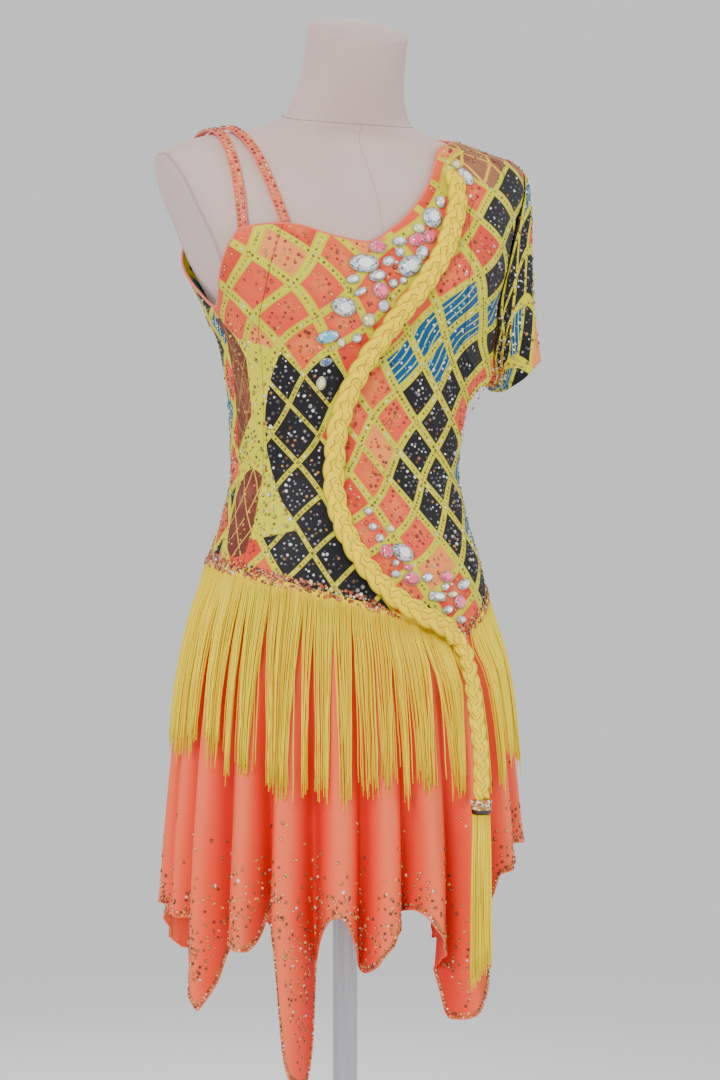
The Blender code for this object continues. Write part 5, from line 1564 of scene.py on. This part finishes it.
def make_straps(finish, glint):
    """Two narrow straps with rounded edges and two staggered rows of stones."""
    section = np.array(((-1.0, 0.0), (-0.93, -0.9), (-0.5, -1.0), (0.5, -1.0), (0.93, -0.9),
                        (1.0, 0.0), (0.93, 0.8), (0.5, 1.0), (0.0, 1.05), (-0.5, 1.0),
                        (-0.93, 0.8)))
    section = section * (STRAP_WIDTH / 2, STRAP_THICKNESS / 2)
    at, normals, straps = [], [], []
    for name, foot_x, top_x, foot in STRAPS:
        line, side, normal = strap_line(foot_x, top_x, foot, 120)
        centre = line + normal * (FORM_GAP + 0.0008 + STRAP_THICKNESS / 2)
        rings = centre[:, None] + side[:, None] * section[:, :1] + normal[:, None] * section[:, 1:]
        points, quads, caps = capped(rings, centre)
        way = travelled(line)
        CUT_GRIDS[name + "_cloth"] = np.concatenate((rings, rings[:, :1]), axis=1)
        straps.append(add_piece(name + "_cloth", points, [quads, caps], finish, "strap_coral",
                                uv=capped_uv(section[:, 0], way), replaces=(name,)))
        for row in (-1, 1):
            steps = np.arange(0.004 + 0.0017 * (row > 0), way[-1] - 0.003, 0.0052)
            place, aside = between(steps, way, centre), between(steps, way, side)
            out = unit(between(steps, way, normal))
            at.append(place + aside * row * 0.0027 + out * (STRAP_THICKNESS / 2))
            normals.append(out)
    at, normals = np.concatenate(at), np.concatenate(normals)
    rng = np.random.default_rng(SEED)
    kinds = kinds_by(rng.random(len(at)), ("amber", 0.65), ("gold", 0.92), ("peach", 1.0))
    strew("strap_stones", at, normals, np.full(len(at), 0.0021), kinds, rng.random(len(at)), glint)
    return straps


# ------------------------ skirt


def make_skirt(finish):
    """Four panels of thin shell: crests and valleys of one flared skirt."""
    panels = {}
    for name, start, end in SKIRT_PANELS:
        turns = np.linspace(start + 0.01, end - 0.01, int((end - start) / 0.5))
        turn, share = np.meshgrid(turns, np.linspace(0, 1, 112))
        line, hem = line_height(turn), hem_height(turn)
        phase, _ = fold_phase(turn)
        # the sunk share, 0 on a crest and up to 1 in a valley, is where the skirt's finish paints shade
        growth = np.clip((share * (line - hem) - FOLD_START) / 0.2, 0, 1)
        sunk = growth * sunk_share(phase) ** 1.2
        uv = np.stack((np.radians(turn) * SKIRT_RADIUS, share * (line - hem)), -1)
        panels[name] = add_cloth(name, skirt_point(turn, share), skirt_point(turn, share, -SHELL),
                                 uv, finish, "skirt_satin", {"sunk": sunk})
    return panels


def make_hem(finish):
    """Narrow rolled hem with a lettuce wave, one for each panel."""
    hems = {}
    for name, start, end in SKIRT_PANELS:
        turn = np.linspace(start + 0.5, end - 0.5, int((end - start) * 5))
        line = skirt_point(turn, np.full_like(turn, 0.9985), -SHELL / 2)
        points, quads, caps = tube(line, *line_frame(line, radial(turn)), 0.0011, 0.0011, 7)
        phase, _ = fold_phase(turn)
        # the hem takes part of the skirt's painted valley shade through its sunk share
        sunk = np.repeat(sunk_share(phase) ** 1.2 * 0.6, 7)
        sunk = np.concatenate((sunk, np.zeros(2)))
        uv = np.zeros((len(points), 2))
        uv[:-2, 0] = np.repeat(travelled(line), 7)
        hems[name] = add_piece(name + "_hem", points, [quads, caps], finish, "skirt_satin", uv=uv,
                               numbers={"sunk": sunk})
    return hems


def skirt_normal(turn, share):
    """Outward direction of the skirt's face."""
    across = skirt_point(turn + 0.3, share) - skirt_point(turn - 0.3, share)
    down = skirt_point(turn, share + 0.004) - skirt_point(turn, share - 0.004)
    return unit(np.cross(down, across))


METRES_PER_DEGREE = 0.0031


def make_hem_stones(glint):
    """Two rows of stones along the hem, and more on a jittered grid that thins away from it.

    The distance is to the hem's own line, so the long points are edged along both their sides.
    """
    rng = np.random.default_rng(SEED + 1)
    turn, lift = np.meshgrid(np.arange(-180, 180, 1.35), np.arange(0.0016, 0.42, 0.0040))
    turn = (turn + rng.uniform(-0.55, 0.55, turn.shape)).ravel()
    lift = (lift + rng.uniform(-0.0012, 0.0012, lift.shape)).ravel()
    line, hem = line_height(turn), hem_height(turn)
    near = lift < np.minimum(0.30, (line - hem) * 0.7)
    turn, lift, line, hem = turn[near], lift[near], line[near], hem[near]
    edge = np.linspace(-190, 190, 3200)
    edge = np.stack((edge * METRES_PER_DEGREE, hem_height(edge)), -1)
    away = np.concatenate([
        np.min(np.hypot(x[:, None] - edge[:, 0], z[:, None] - edge[:, 1]), axis=1)
        for x, z in zip(np.array_split(turn * METRES_PER_DEGREE, 24),
                        np.array_split(hem + lift, 24))])
    share = np.where(away < 0.0115, 0.97, 0.85 * np.exp(-(away - 0.0115) / 0.019))
    keep = (away > 0.0070) & (rng.random(len(turn)) < share) & (away < 0.13)
    turn, lift, away = (x[keep] for x in (turn, lift, away))
    walk = np.linspace(-180, 180, 7201)
    way = travelled(skirt_point(walk, np.full_like(walk, 0.996)))
    rows = [np.interp(np.arange(shift, way[-1], 0.0039), way, walk) for shift in (0.0, 0.0019)]
    edge_lift = np.repeat((0.0020, 0.0056), [len(row) for row in rows])
    turn, lift = np.concatenate([turn] + rows), np.concatenate((lift, edge_lift))
    away = np.concatenate((away, edge_lift))
    share = 1 - lift / (line_height(turn) - hem_height(turn))
    at, normal = skirt_point(turn, share), skirt_normal(turn, share)
    radius = rng.uniform(0.0014, 0.0019, len(turn)) + 0.0003 * (away > 0.02)
    kinds = rng.choice(("bronze", "gold", "peach", "clear"), size=len(turn),
                       p=(0.50, 0.36, 0.11, 0.03))
    strew("hem_stones", at, normal, radius, kinds, rng.random(len(turn)), glint)


# ------------------------ threads

STATIONS, TAPER = 9, 0.75


def threads(lines, outward, radius):
    """Three-sided threads along many lines at once: points, quads and end triangles."""
    count, stations = lines.shape[:2]
    side = np.stack((-outward[..., 1], outward[..., 0], np.zeros(outward.shape[:-1])), -1)
    angle = np.array((0.5, 7 / 6, 11 / 6)) * math.pi
    narrow = radius[:, None] * np.linspace(1.0, TAPER, stations)
    rings = lines[:, :, None] + narrow[..., None, None] * (
        side[:, :, None] * np.cos(angle)[:, None] + outward[:, :, None] * np.sin(angle)[:, None])
    first = np.arange(count)[:, None, None] * stations + np.arange(stations - 1)[None, :, None]
    first = first * 3
    i = np.arange(3)
    k = (i + 1) % 3
    quads = np.stack((first + i, first + k, first + k + 3, first + i + 3), -1).reshape(-1, 4)
    head = np.arange(count)[:, None] * stations * 3
    ends = np.concatenate((head + (2, 1, 0), head + (stations - 1) * 3 + (0, 1, 2)))
    return rings, quads, ends


def thread_numbers(tone, way, root):
    """Tone of each point of some threads, and how near it is to the threads' roots."""
    depth = np.broadcast_to(1 - ease(way / root), tone.shape)
    return {"tone": np.repeat(tone, 3, axis=1), "root": np.repeat(depth, 3, axis=1)}


def make_fringe(name, start, end, finish):
    """Two layers of threads that hang from a sewn strip, drawn together into uneven locks."""
    rng = np.random.default_rng(SEED + 11 + int(abs(start)))
    rows = [np.arange(start + 0.3 + shift, end - 0.3, 0.56) for shift in (0.0, 0.28)]
    root = np.concatenate(rows)
    layer = np.repeat((0, 1), [len(row) for row in rows])
    root = root + rng.uniform(-0.10, 0.10, len(root))
    count = len(root)
    bounds = start + np.concatenate(([0], np.cumsum(rng.choice((4.0, 7.0, 10.5, 13.5), 60))))
    group = np.searchsorted(bounds, root)
    middle = (bounds[group - 1] + bounds[np.minimum(group, len(bounds) - 1)]) / 2
    middle = middle + rng.normal(0, 1.2, len(bounds))[group]
    pull = rng.uniform(0.30, 0.66, len(bounds))[group] * (rng.random(count) > 0.10)
    around = np.where(root < -90, root + 360, root)
    length = smooth(np.clip(around, -90, 270), FRINGE_LENGTHS[:, 0], FRINGE_LENGTHS[:, 1])
    length = length + rng.normal(0, 0.0075, count) + rng.normal(0, 0.009, len(bounds))[group]
    away = (root - middle) / 6.0
    length = length - 0.008 * np.abs(away)
    way = np.linspace(0, 1, STATIONS)[None]
    foot = line_height(root)[:, None]
    height = foot + 0.003 - (length[:, None] + 0.003) * way
    drawn = ease((way - 0.04) / 0.96) ** 0.75
    turn = root[:, None] + (middle - root)[:, None] * pull[:, None] * drawn
    turn = turn + (rng.normal(0, 0.40, (count, 1)) * way
                   + rng.normal(0, 0.14, (count, STATIONS)) * way)
    lines = envelope(turn, height)
    bulge = (0.0018 + 0.0030 * layer[:, None] + 0.0018 * np.sin(np.pi * way)
             + rng.normal(0, 0.0006, (count, 1)))
    lines = lines + radial(turn) * bulge[..., None]
    lines[:, 0] = off_form(root, line_height(root) + 0.003,
                           np.full(count, FORM_GAP + CLOTH + 0.0012))
    radius = rng.uniform(0.00066, 0.00090, count)
    points, quads, ends = threads(lines, radial(turn), radius)
    # painted shade: the inner layer of threads is a little darker than the outer one
    tone = np.clip(0.50 + 0.12 * layer[:, None] + rng.normal(0, 0.20, (count, 1))
                   + rng.normal(0, 0.08, len(bounds))[group][:, None]
                   + rng.normal(0, 0.05, (count, STATIONS)), 0, 1)
    return add_piece(name + "_threads", points, [quads, ends], finish, "fringe_yellow",
                     numbers=thread_numbers(tone, way, 0.08), replaces=(name,))


def make_fringe_strip(name, start, end, finish):
    """Sewn strip of looped thread heads above the fringe, slightly ribbed."""
    turn = np.linspace(start + 0.25, end - 0.25, int((end - start) * 6))
    line = line_height(turn)
    rib = 0.00022 * np.sin(np.radians(turn) * 360 * 1.6)
    near = FORM_GAP + CLOTH + 1.5 * SEAM_GAP
    rows = np.array(((0.0, 0.0), (0.0, 0.0012), (0.0012, 0.0015), (0.0055, 0.0015),
                     (0.0068, 0.0011), (0.0068, 0.0)))
    rings = np.stack([off_form(turn, line + lift, near + out + rib * (out > 0))
                      for lift, out in rows], axis=1)
    quads = grid_quads(len(turn), 6, True)
    i = np.arange(6)
    last = (len(turn) - 1) * 6
    # painted light: the tone follows the ribs, lighter where they stand out and darker between them; the fixed root
    # share paints shade over the whole strip
    numbers = {"tone": np.repeat(0.45 + 900 * rib, 6), "root": np.full(len(turn) * 6, 0.35)}
    return add_piece(name + "_strip", rings, [quads, np.stack((i[::-1], last + i))], finish,
                     "fringe_yellow", numbers=numbers)


# ------------------------ braid, its free end, tassel


def plait(line, side, out, half_width, half_thickness, period, sides=14):
    """Three strands that pass over and under each other along a line, and their own numbers."""
    way = travelled(line)
    strands = []
    for k in range(3):
        p = 2 * np.pi * (way / period + k / 3)
        centre = (line + side * (0.47 * half_width * np.sin(p))[:, None]
                  + out * (0.36 * half_thickness * np.sin(2 * p))[:, None])
        strands.append(tube(centre, *line_frame(centre, out), 0.50 * half_width,
                            0.60 * half_thickness, sides))
    points, quads, caps = joined(strands)
    angle = 2 * np.pi * np.arange(sides) / sides
    end = np.zeros(2)
    # 1 at the two sides of each strand, where the strands meet; the braid's finish paints shade there
    groove = np.concatenate((np.tile(np.abs(np.cos(angle)), len(line)), end))
    around = np.concatenate((np.tile(np.cos(angle), len(line)), end))
    along = np.concatenate((np.repeat(way, sides), end))
    numbers = {"groove": np.tile(groove, 3), "around": np.tile(around, 3),
               "way": np.concatenate([along + 0.31 * k for k in range(3)])}
    return points, [quads, caps], numbers


def make_braid(finish):
    """Puffed plait sewn down the front from the left shoulder to the hip."""
    line, side, out = braid_line(460)
    points, faces, numbers = plait(line, side, out, BRAID_HALF_WIDTH, BRAID_HALF_THICKNESS, 0.066)
    add_piece("braid_plait", points, faces, finish, "braid_yellow", numbers=numbers,
              replaces=("braid_sewn",))


def make_drop(finish):
    """The plait's free end, hanging from the hip."""
    path = drop_line()
    line = curve_through(path, 150)
    side, out = line_frame(line, (0.4226, 0.9063, 0.0))
    points, faces, numbers = plait(line, side, out, 0.0092, 0.0078, 0.054, 12)
    piece = add_piece("drop_plait", points, faces, finish, "braid_yellow", numbers=numbers,
                      replaces=("braid_drop",))
    return piece, path


def make_tassel(cap_finish, glint, thread_look):
    """Gold cap with two rings of stones and a dark rim, and the tassel's threads."""
    top = drop_line()[-1] - np.array((0.0, 0.0, SEAM_GAP))
    share = np.array((0.0, 0.02, 0.10, 0.25, 0.30, 0.42, 0.47, 0.52, 0.64, 0.70, 0.76, 0.86, 0.96,
                      1.0))
    reach = np.array((0.0, 0.74, 0.84, 0.98, 0.90, 0.92, 1.0, 0.90, 0.90, 1.0, 0.94, 0.95, 0.88,
                      0.0))
    ring = bearing(2 * np.pi * np.arange(40) / 40)
    grid = top + ring[None] * (reach * TASSEL_CAP_RADIUS)[:, None, None]
    grid = grid - np.array((0, 0, 1.0)) * (share * TASSEL_CAP_HEIGHT)[:, None, None]
    quads = grid_quads(len(share), 40, True)
    rows = np.repeat(np.arange(len(share) - 1), 40)
    tint = np.where((rows >= 9)[:, None], np.array(srgb(40, 34, 30)), np.array(srgb(206, 158, 72)))
    cap = add_piece("tassel_cover", grid, quads, cap_finish, "stone_glass", colours=tint,
                    replaces=("tassel_cap",))
    at, out, radius = [], [], []
    for level, number, size in ((0.17, 15, 0.0021), (0.36, 18, 0.0019), (0.58, 18, 0.0019)):
        away = bearing(2 * np.pi * (np.arange(number) + 7 * level) / number)
        at.append(top + away * TASSEL_CAP_RADIUS * 0.91 - (0, 0, level * TASSEL_CAP_HEIGHT))
        out.append(away)
        radius.append(np.full(number, size))
    at, out, radius = np.concatenate(at), np.concatenate(out), np.concatenate(radius)
    rng = np.random.default_rng(SEED + 3)
    kinds = rng.choice(("gold", "clear", "amber"), size=len(at), p=(0.45, 0.40, 0.15))
    stones = strew("tassel_stones", at, out, radius, kinds, rng.random(len(at)), glint)
    count = 230
    spot = np.sqrt(rng.random(count)) * TASSEL_RADIUS
    away = bearing(rng.random(count) * 2 * np.pi)
    head = top - np.array((0, 0, TASSEL_CAP_HEIGHT + SEAM_GAP))
    length = (TASSEL_LENGTH + rng.normal(0, 0.006, count)
              - TASSEL_SLANT * (away[:, 0] * spot) / TASSEL_RADIUS + 0.006)
    way = np.linspace(0, 1, STATIONS)[None, :, None]
    swell = 1 + 0.10 * np.sin(np.pi * way) + 0.22 * way
    lines = (head + away[:, None] * spot[:, None, None] * swell
             - np.array((0, 0, 1.0)) * way * length[:, None, None])
    lines = lines + rng.normal(0, 0.0011, (count, 1, 3)) * way * (1, 1, 0)
    outward = np.broadcast_to(away[:, None], lines.shape)
    points, quads, ends = threads(lines, outward, rng.uniform(0.0006, 0.0008, count))
    # painted shade: threads in the tassel's core are darker than those at its outside
    tone = 0.40 + 0.28 * (spot / TASSEL_RADIUS)[:, None] + rng.normal(0, 0.16, (count, 1))
    tone = np.broadcast_to(np.clip(tone, 0, 1), lines.shape[:2])
    add_piece("tassel_threads", points, [quads, ends], thread_look, "fringe_yellow",
              numbers=thread_numbers(tone, way[..., 0], 0.06), replaces=("tassel_strands",))
    return cap, stones


# ------------------------ small stones of the bodice


def clear_of_stones(at):
    """True where a small stone keeps clear of the braid and the cut stones."""
    centre, _, _ = braid_line(170)
    free = np.min(np.linalg.norm(at[:, None] - centre[None], axis=-1), axis=1) > 0.0160
    for turn, along, length, width, *_ in CAD_STONES + SEWN_STONES:
        seat = stone_frame(turn, along, STONE_SEAT)[0]
        free &= np.linalg.norm(at - seat, axis=-1) > (length + width) / 4 + 0.0022
    return free


def half_outline(half):
    """Line round one half of the bodice in metres of cloth, point by point."""
    low, high = np.zeros(170), np.ones(170)
    walk = np.linspace(0, 1, 170)
    across = np.concatenate((walk, high, walk[::-1], low))
    up = np.concatenate((low, walk, high, walk[::-1]))
    turn, along = bodice_place(across, up, half)
    return np.stack((girth(turn), along), -1)


def inside(outline, u, v, margin):
    """True where a place lies inside an outline and clear of it by a margin."""
    x, y = outline.T
    after_x, after_y = np.roll(x, -1), np.roll(y, -1)
    result = []
    for some_u, some_v in zip(np.array_split(u, 8), np.array_split(v, 8)):
        some_u, some_v = some_u[:, None], some_v[:, None]
        crosses = (y > some_v) != (after_y > some_v)
        reach = x + (some_v - y) * (after_x - x) / np.where(after_y == y, 1.0, after_y - y)
        odd = np.sum(crosses & (some_u < reach), axis=1) % 2 == 1
        clear = np.min(np.hypot(some_u - x, some_v - y), axis=1) > margin
        result.append(odd & clear)
    return np.concatenate(result)


GRID_PITCH, BEAD_PITCH = 0.0061, 0.0046


def cloth_places(rng):
    """Places on the cloth: a jittered six-sided grid, and single file along the bands' middles."""
    u, v = np.meshgrid(np.arange(-0.20, 0.20, GRID_PITCH),
                       np.arange(0.86, 1.47, GRID_PITCH * 0.866))
    u = u + np.where(np.arange(len(u)) % 2, GRID_PITCH / 2, 0.0)[:, None]
    u = (u + rng.uniform(-0.30, 0.30, u.shape) * GRID_PITCH).ravel()
    v = (v + rng.uniform(-0.30, 0.30, v.shape) * GRID_PITCH).ravel()
    step = BEAD_PITCH / math.hypot(LOZENGE_WIDTH / 2, LOZENGE_HEIGHT / 2)
    whole, part = np.meshgrid(np.arange(-30, 31), np.arange(-30, 30, step), indexing="ij")
    whole, part = whole.ravel().astype(float), part.ravel()
    first, second = from_trellis(whole, part), from_trellis(part, whole)
    return (u, v), (np.concatenate((first[0], second[0])), np.concatenate((first[1], second[1])))


def bead_kinds(rng, dark, blue, on_lime, pearly, mesh, warm):
    """Kind of each small stone from what it is sewn on."""
    pick = rng.random(len(dark))
    kind = kinds_by(pick, ("amber", 0.50), ("rust", 0.84), ("gold", 0.93), ("clear", 1.0))
    kind = np.where(warm & (pick > 0.70), "gold", kind)
    for here, steps in (
            (on_lime, (("olive", 0.50), ("gold", 0.78), ("lime", 0.93), ("clear", 1.0))),
            (dark, (("smoke", 0.48), ("jet", 0.80), ("bronze", 0.92), ("clear", 1.0))),
            (blue, (("blue", 0.60), ("clear", 1.0))),
            (mesh, (("bronze", 0.50), ("rust", 0.80), ("gold", 1.0))),
            (pearly, (("clear", 0.70), ("gold", 1.0)))):
        kind = np.where(here, kinds_by(pick, *steps), kind)
    return kind


def sewn_cloth(turn, along):
    """Which cloth a place lies on, from the same functions as its colours."""
    u = girth(turn)
    a, b = trellis(u, along)
    _, dark, blue, nude = lozenge(a, b)
    edge, half = band_distance(a, b), band_half(u, along)
    field = lime_field(u, along) > 0.5
    lime = (edge < half) | field
    mesh = (u < -0.131) & (u > -0.1805) & (mesh_share(u, along) > 0.5)
    panel = (u > 0.118) & (u < 0.1805)
    pearly, border = (panel & (share > 0.5) for share in sequin_share(u, along))
    field, lime = field | border, lime | border
    half = np.where(field, 5 * FIELD_HALF, half)
    edge = np.where(field, 0.0, edge)
    return edge, half, (dark > 0.5) & ~lime, (blue > 0.5) & ~lime, lime, mesh, pearly, nude > 0.5


def half_stones(rng, half):
    """Seats, normals, radii and kinds of one half's scattered stones, and of its bead rows."""
    outline = half_outline(half)
    grid, beads = cloth_places(rng)
    for (u, v), in_row in ((grid, False), (beads, True)):
        own = inside(outline, u, v, 0.0024 if in_row else 0.0030)
        u, v = u[own], v[own]
        turn = half(np.interp(u, GIRTH_WALK, GIRTH_TURNS))
        edge, wide, dark, blue, lime, mesh, pearly, nude = sewn_cloth(turn, v)
        if in_row:
            keep = (wide < FIELD_HALF) & ~nude & ~mesh & ~pearly
            share = np.full(len(u), 0.93)
            radius = rng.uniform(0.0014, 0.0018, len(u))
        else:
            keep = np.where(lime, (wide > FIELD_HALF) & (edge < wide - 0.0016),
                            edge > wide + 0.0017)
            share = np.select((mesh, pearly, nude, dark, blue, lime),
                              (0.30, 0.35, 0.25, 0.84, 0.50, 0.66), 0.72)
            high = (v > 1.215) & (half is front_half)
            share = np.where(high & ~dark & ~nude, 0.92, share)
            radius = rng.choice((0.0015, 0.0018, 0.0022, 0.0027), len(u),
                                p=(0.30, 0.38, 0.25, 0.07))
        keep &= rng.random(len(u)) < share
        kinds = bead_kinds(rng, dark, blue, lime, pearly, mesh, girth(turn) < 0)
        at = off_form(turn, v, bodice_out(turn, v))
        yield at[keep], form_frame(turn, v)[3][keep], radius[keep], kinds[keep]


def hip_stones(rng):
    """Seats, normals, radii and kinds of the stones crowded above the bodice's lower edge."""
    count = 1500
    turn = rng.uniform(-180, 180, count)
    lift = rng.uniform(0.001, 0.014, count)
    along = line_height(turn) + lift
    out = np.where(lift < 0.0078, FORM_GAP + CLOTH + 0.0019, cloth_gap(turn, along) + CLOTH)
    return (off_form(turn, along, out), form_frame(turn, along)[3],
            rng.choice((0.0015, 0.0019, 0.0024), size=count),
            rng.choice(("amber", "rust", "gold", "clear", "bronze"), size=count,
                       p=(0.40, 0.20, 0.24, 0.05, 0.11)))


def make_bodice_stones(glint):
    """Small stones close together over the whole bodice, and bead rows on the narrow bands."""
    rng = np.random.default_rng(SEED + 5)
    scattered, rows = zip(*[list(half_stones(rng, half)) for half in (front_half, back_half)])
    for name, store in (("bodice_stones", scattered), ("band_beads", (*rows, hip_stones(rng)))):
        at, normal, radius, kind = (np.concatenate(x) for x in zip(*store))
        keep = clear_of_stones(at)
        at, normal, radius, kind = at[keep], normal[keep], radius[keep], kind[keep]
        strew(name, at, normal, radius, kind, rng.random(len(at)), glint)


def make_sleeve_stones(glint):
    """Small stones over the outside of the sleeve."""
    rng = np.random.default_rng(SEED + 9)
    around, down = np.meshgrid((np.arange(46) + 0.5) / 46, (np.arange(22) + 0.6) / 23)
    around = (around + rng.uniform(-0.3, 0.3, around.shape) / 46).ravel()
    down = (down + rng.uniform(-0.3, 0.3, down.shape) / 23).ravel()
    step = 0.003
    at = sleeve_point(around, down)
    across = sleeve_point(around + step, down) - sleeve_point(around - step, down)
    fall = sleeve_point(around, down + step) - sleeve_point(around, down - step)
    normal = unit(np.cross(across, fall))
    u, v = sleeve_uv(around, down)
    a, b = trellis(u, v)
    _, dark, blue, nude = lozenge(a, b)
    edge = band_distance(a, b)
    lime = edge < BAND_HALF
    none = np.zeros(len(u), bool)
    kinds = bead_kinds(rng, (dark > 0.5) & ~lime, (blue > 0.5) & ~lime, lime, none, none, none)
    share = np.where(nude > 0.5, 0.3, 0.8)
    keep = (np.abs(edge - BAND_HALF) > 0.0014) & (rng.random(len(u)) < share)
    keep &= (down > 0.03) & (down < 0.975)
    at, normal, kinds = at[keep], normal[keep], kinds[keep]
    strew("sleeve_stones", at, normal, rng.choice((0.0015, 0.0018, 0.0022), len(at)), kinds,
          rng.random(len(at)), glint)


# ------------------------ studio


CAMERA_TURN, CAMERA_AWAY, CAMERA_HEIGHT = -25.0, 3.0, 0.935
HALF_VIEW = 0.594


def make_camera():
    """Camera at standing height, turned a little to the wearer's right."""
    turn = math.radians(CAMERA_TURN)
    back = Vector((math.sin(turn), -math.cos(turn), 0.0))
    aside = Vector((math.cos(turn), math.sin(turn), 0.0))
    data = bpy.data.cameras.new("camera")
    data.sensor_width, data.sensor_fit = 36.0, "AUTO"
    data.lens = data.sensor_width / 2 * CAMERA_AWAY / HALF_VIEW
    camera = bpy.data.objects.new("camera", data)
    camera.location = aside * 0.0165 + Vector((0.0, 0.0, CAMERA_HEIGHT)) + back * CAMERA_AWAY
    camera.rotation_euler = back.to_track_quat("Z", "Y").to_euler()
    bpy.context.collection.objects.link(camera)
    bpy.context.scene.camera = camera


def make_floor():
    """Pale round floor that fades away towards its edge."""
    f = Finish("studio_floor", Roughness=0.75)
    at = f.place()
    x, y = f.parts(at, 2)
    reach = f.add("ShaderNodeMath", {"operation": "SQRT"}, {0: x * x + y * y})
    f.set("Base Color", f.mix(f.noise(at, 2.0), (0.90, 0.90, 0.90), (0.94, 0.94, 0.94)))
    f.set("Alpha", 1.0 - rise(reach, 0.9, 3.0))
    sides, reaches = 96, np.array((0.02, 0.4, 1.0, 2.0, 3.05))
    rings = reaches[:, None, None] * bearing(2 * np.pi * np.arange(sides) / sides)
    rings = rings - (0.0, 0.0, 0.0004)
    mesh = bpy.data.meshes.new("floor")
    faces = grid_quads(len(reaches), sides, True)[:, ::-1].tolist() + [list(range(sides))]
    mesh.from_pydata(rings.reshape(-1, 3).tolist(), [], faces)
    mesh.materials.append(f.material)
    floor_disc = bpy.data.objects.new("floor", mesh)
    bpy.context.collection.objects.link(floor_disc)
    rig.stage(floor_disc)


def make_lights():
    """Pale world and three soft round lights that face the dress."""
    world = bpy.data.worlds.new("studio")
    world.use_nodes = True
    sky = world.node_tree.nodes["Background"]
    sky.inputs["Color"].default_value = (0.93, 0.94, 0.96, 1.0)
    sky.inputs["Strength"].default_value = 0.86
    bpy.context.scene.world = world
    aim = Vector((0.0, 0.0, 0.85))
    for name, place, size, power in (("key", (-2.4, -2.6, 3.0), 1.5, 120.0),
                                     ("fill", (2.6, -1.9, 1.7), 2.2, 34.0),
                                     ("rear", (0.6, 3.0, 2.6), 2.0, 45.0)):
        light = bpy.data.lights.new(name, "AREA")
        light.shape, light.size, light.energy = "DISK", size, power
        lamp = bpy.data.objects.new(name, light)
        lamp.location = place
        lamp.rotation_euler = (Vector(place) - aim).to_track_quat("Z", "Y").to_euler()
        bpy.context.collection.objects.link(lamp)


# ------------------------ making

make_camera()

braid_look, fringe_look = braid_finish(), thread_finish()
glint = tint_finish("stone_glass", roughness=0.16, metallic=0.10, coat=0.30, specular=0.6,
                    painted_glint=0.06)
bead = tint_finish("bead_glass", roughness=0.42, metallic=0.0, coat=0.0, specular=0.30, painted_glint=0.05)
gold = tint_finish("cap_gold", roughness=0.28, metallic=0.9, coat=0.0, specular=0.8, painted_glint=0.12)
drop, drop_path = make_drop(braid_look)
cap, cap_stones = make_tassel(gold, bead, fringe_look)
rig.cord(drop, exit=tuple(map(float, drop_path[0])), length=float(travelled(drop_path)[-1]),
        diameter=DROP_DIAMETER, far_end="fitting", stiffness="medium", lay="hanging",
        path=[tuple(map(float, p)) for p in drop_path], with_pieces=[cap, cap_stones])

form_look, metal_look = form_finish(), metal_finish()
looks = {"bodice_print": print_finish(), "side_sequin": mesh_finish(),
         "inset_sequin": inset_finish()}
skirt_look, strap_look = skirt_finish(), strap_finish()

make_form(form_look)
for name in ("form_pole", "form_base"):
    for slot in frame["nodes"][name].material_slots:
        slot.material = metal_look.material
sheets = make_bodice(looks)
make_edges(strap_look)
sheets["sleeve_left"] = make_sleeve(looks["bodice_print"])
straps = make_straps(strap_look, bead)
make_braid(braid_look)
sheets.update(make_skirt(skirt_look))
hems = make_hem(skirt_look)
fringes, strips = {}, {}
for name, start, end in FRINGE_ROWS:
    fringes[name] = make_fringe(name, start, end, fringe_look)
    strips[name] = make_fringe_strip(name, start, end, fringe_look)
make_cut_stones(glint)
make_bodice_stones(bead)
make_sleeve_stones(bead)
make_hem_stones(bead)
make_floor()
make_lights()

for name in ("bodice_front", "bodice_back", "bodice_side_right", "bodice_side_left"):
    cut_sheet(sheets[name], "stretched", ["form_torso"], 1.08)
cut_sheet(sheets["sleeve_left"], "draped", ["form_torso"], row=np.mean)
for strap in straps:
    cut_sheet(strap, "stretched", ["form_torso"], folded=True)
for name, start, end in SKIRT_PANELS:
    upper = ["bodice_front" if start < 90 else "bodice_back"]
    row_name = name.replace("skirt", "fringe")
    sewn_on = [made[row_name] for made in (fringes, strips) if row_name in made]
    cut_sheet(sheets[name], "hung", upper, with_pieces=[hems[name], *sewn_on], row=np.median)

json.dump([CAD_BOX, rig.bounds()], open("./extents.json", "w"),
          default=lambda x: [float(v) for v in x])
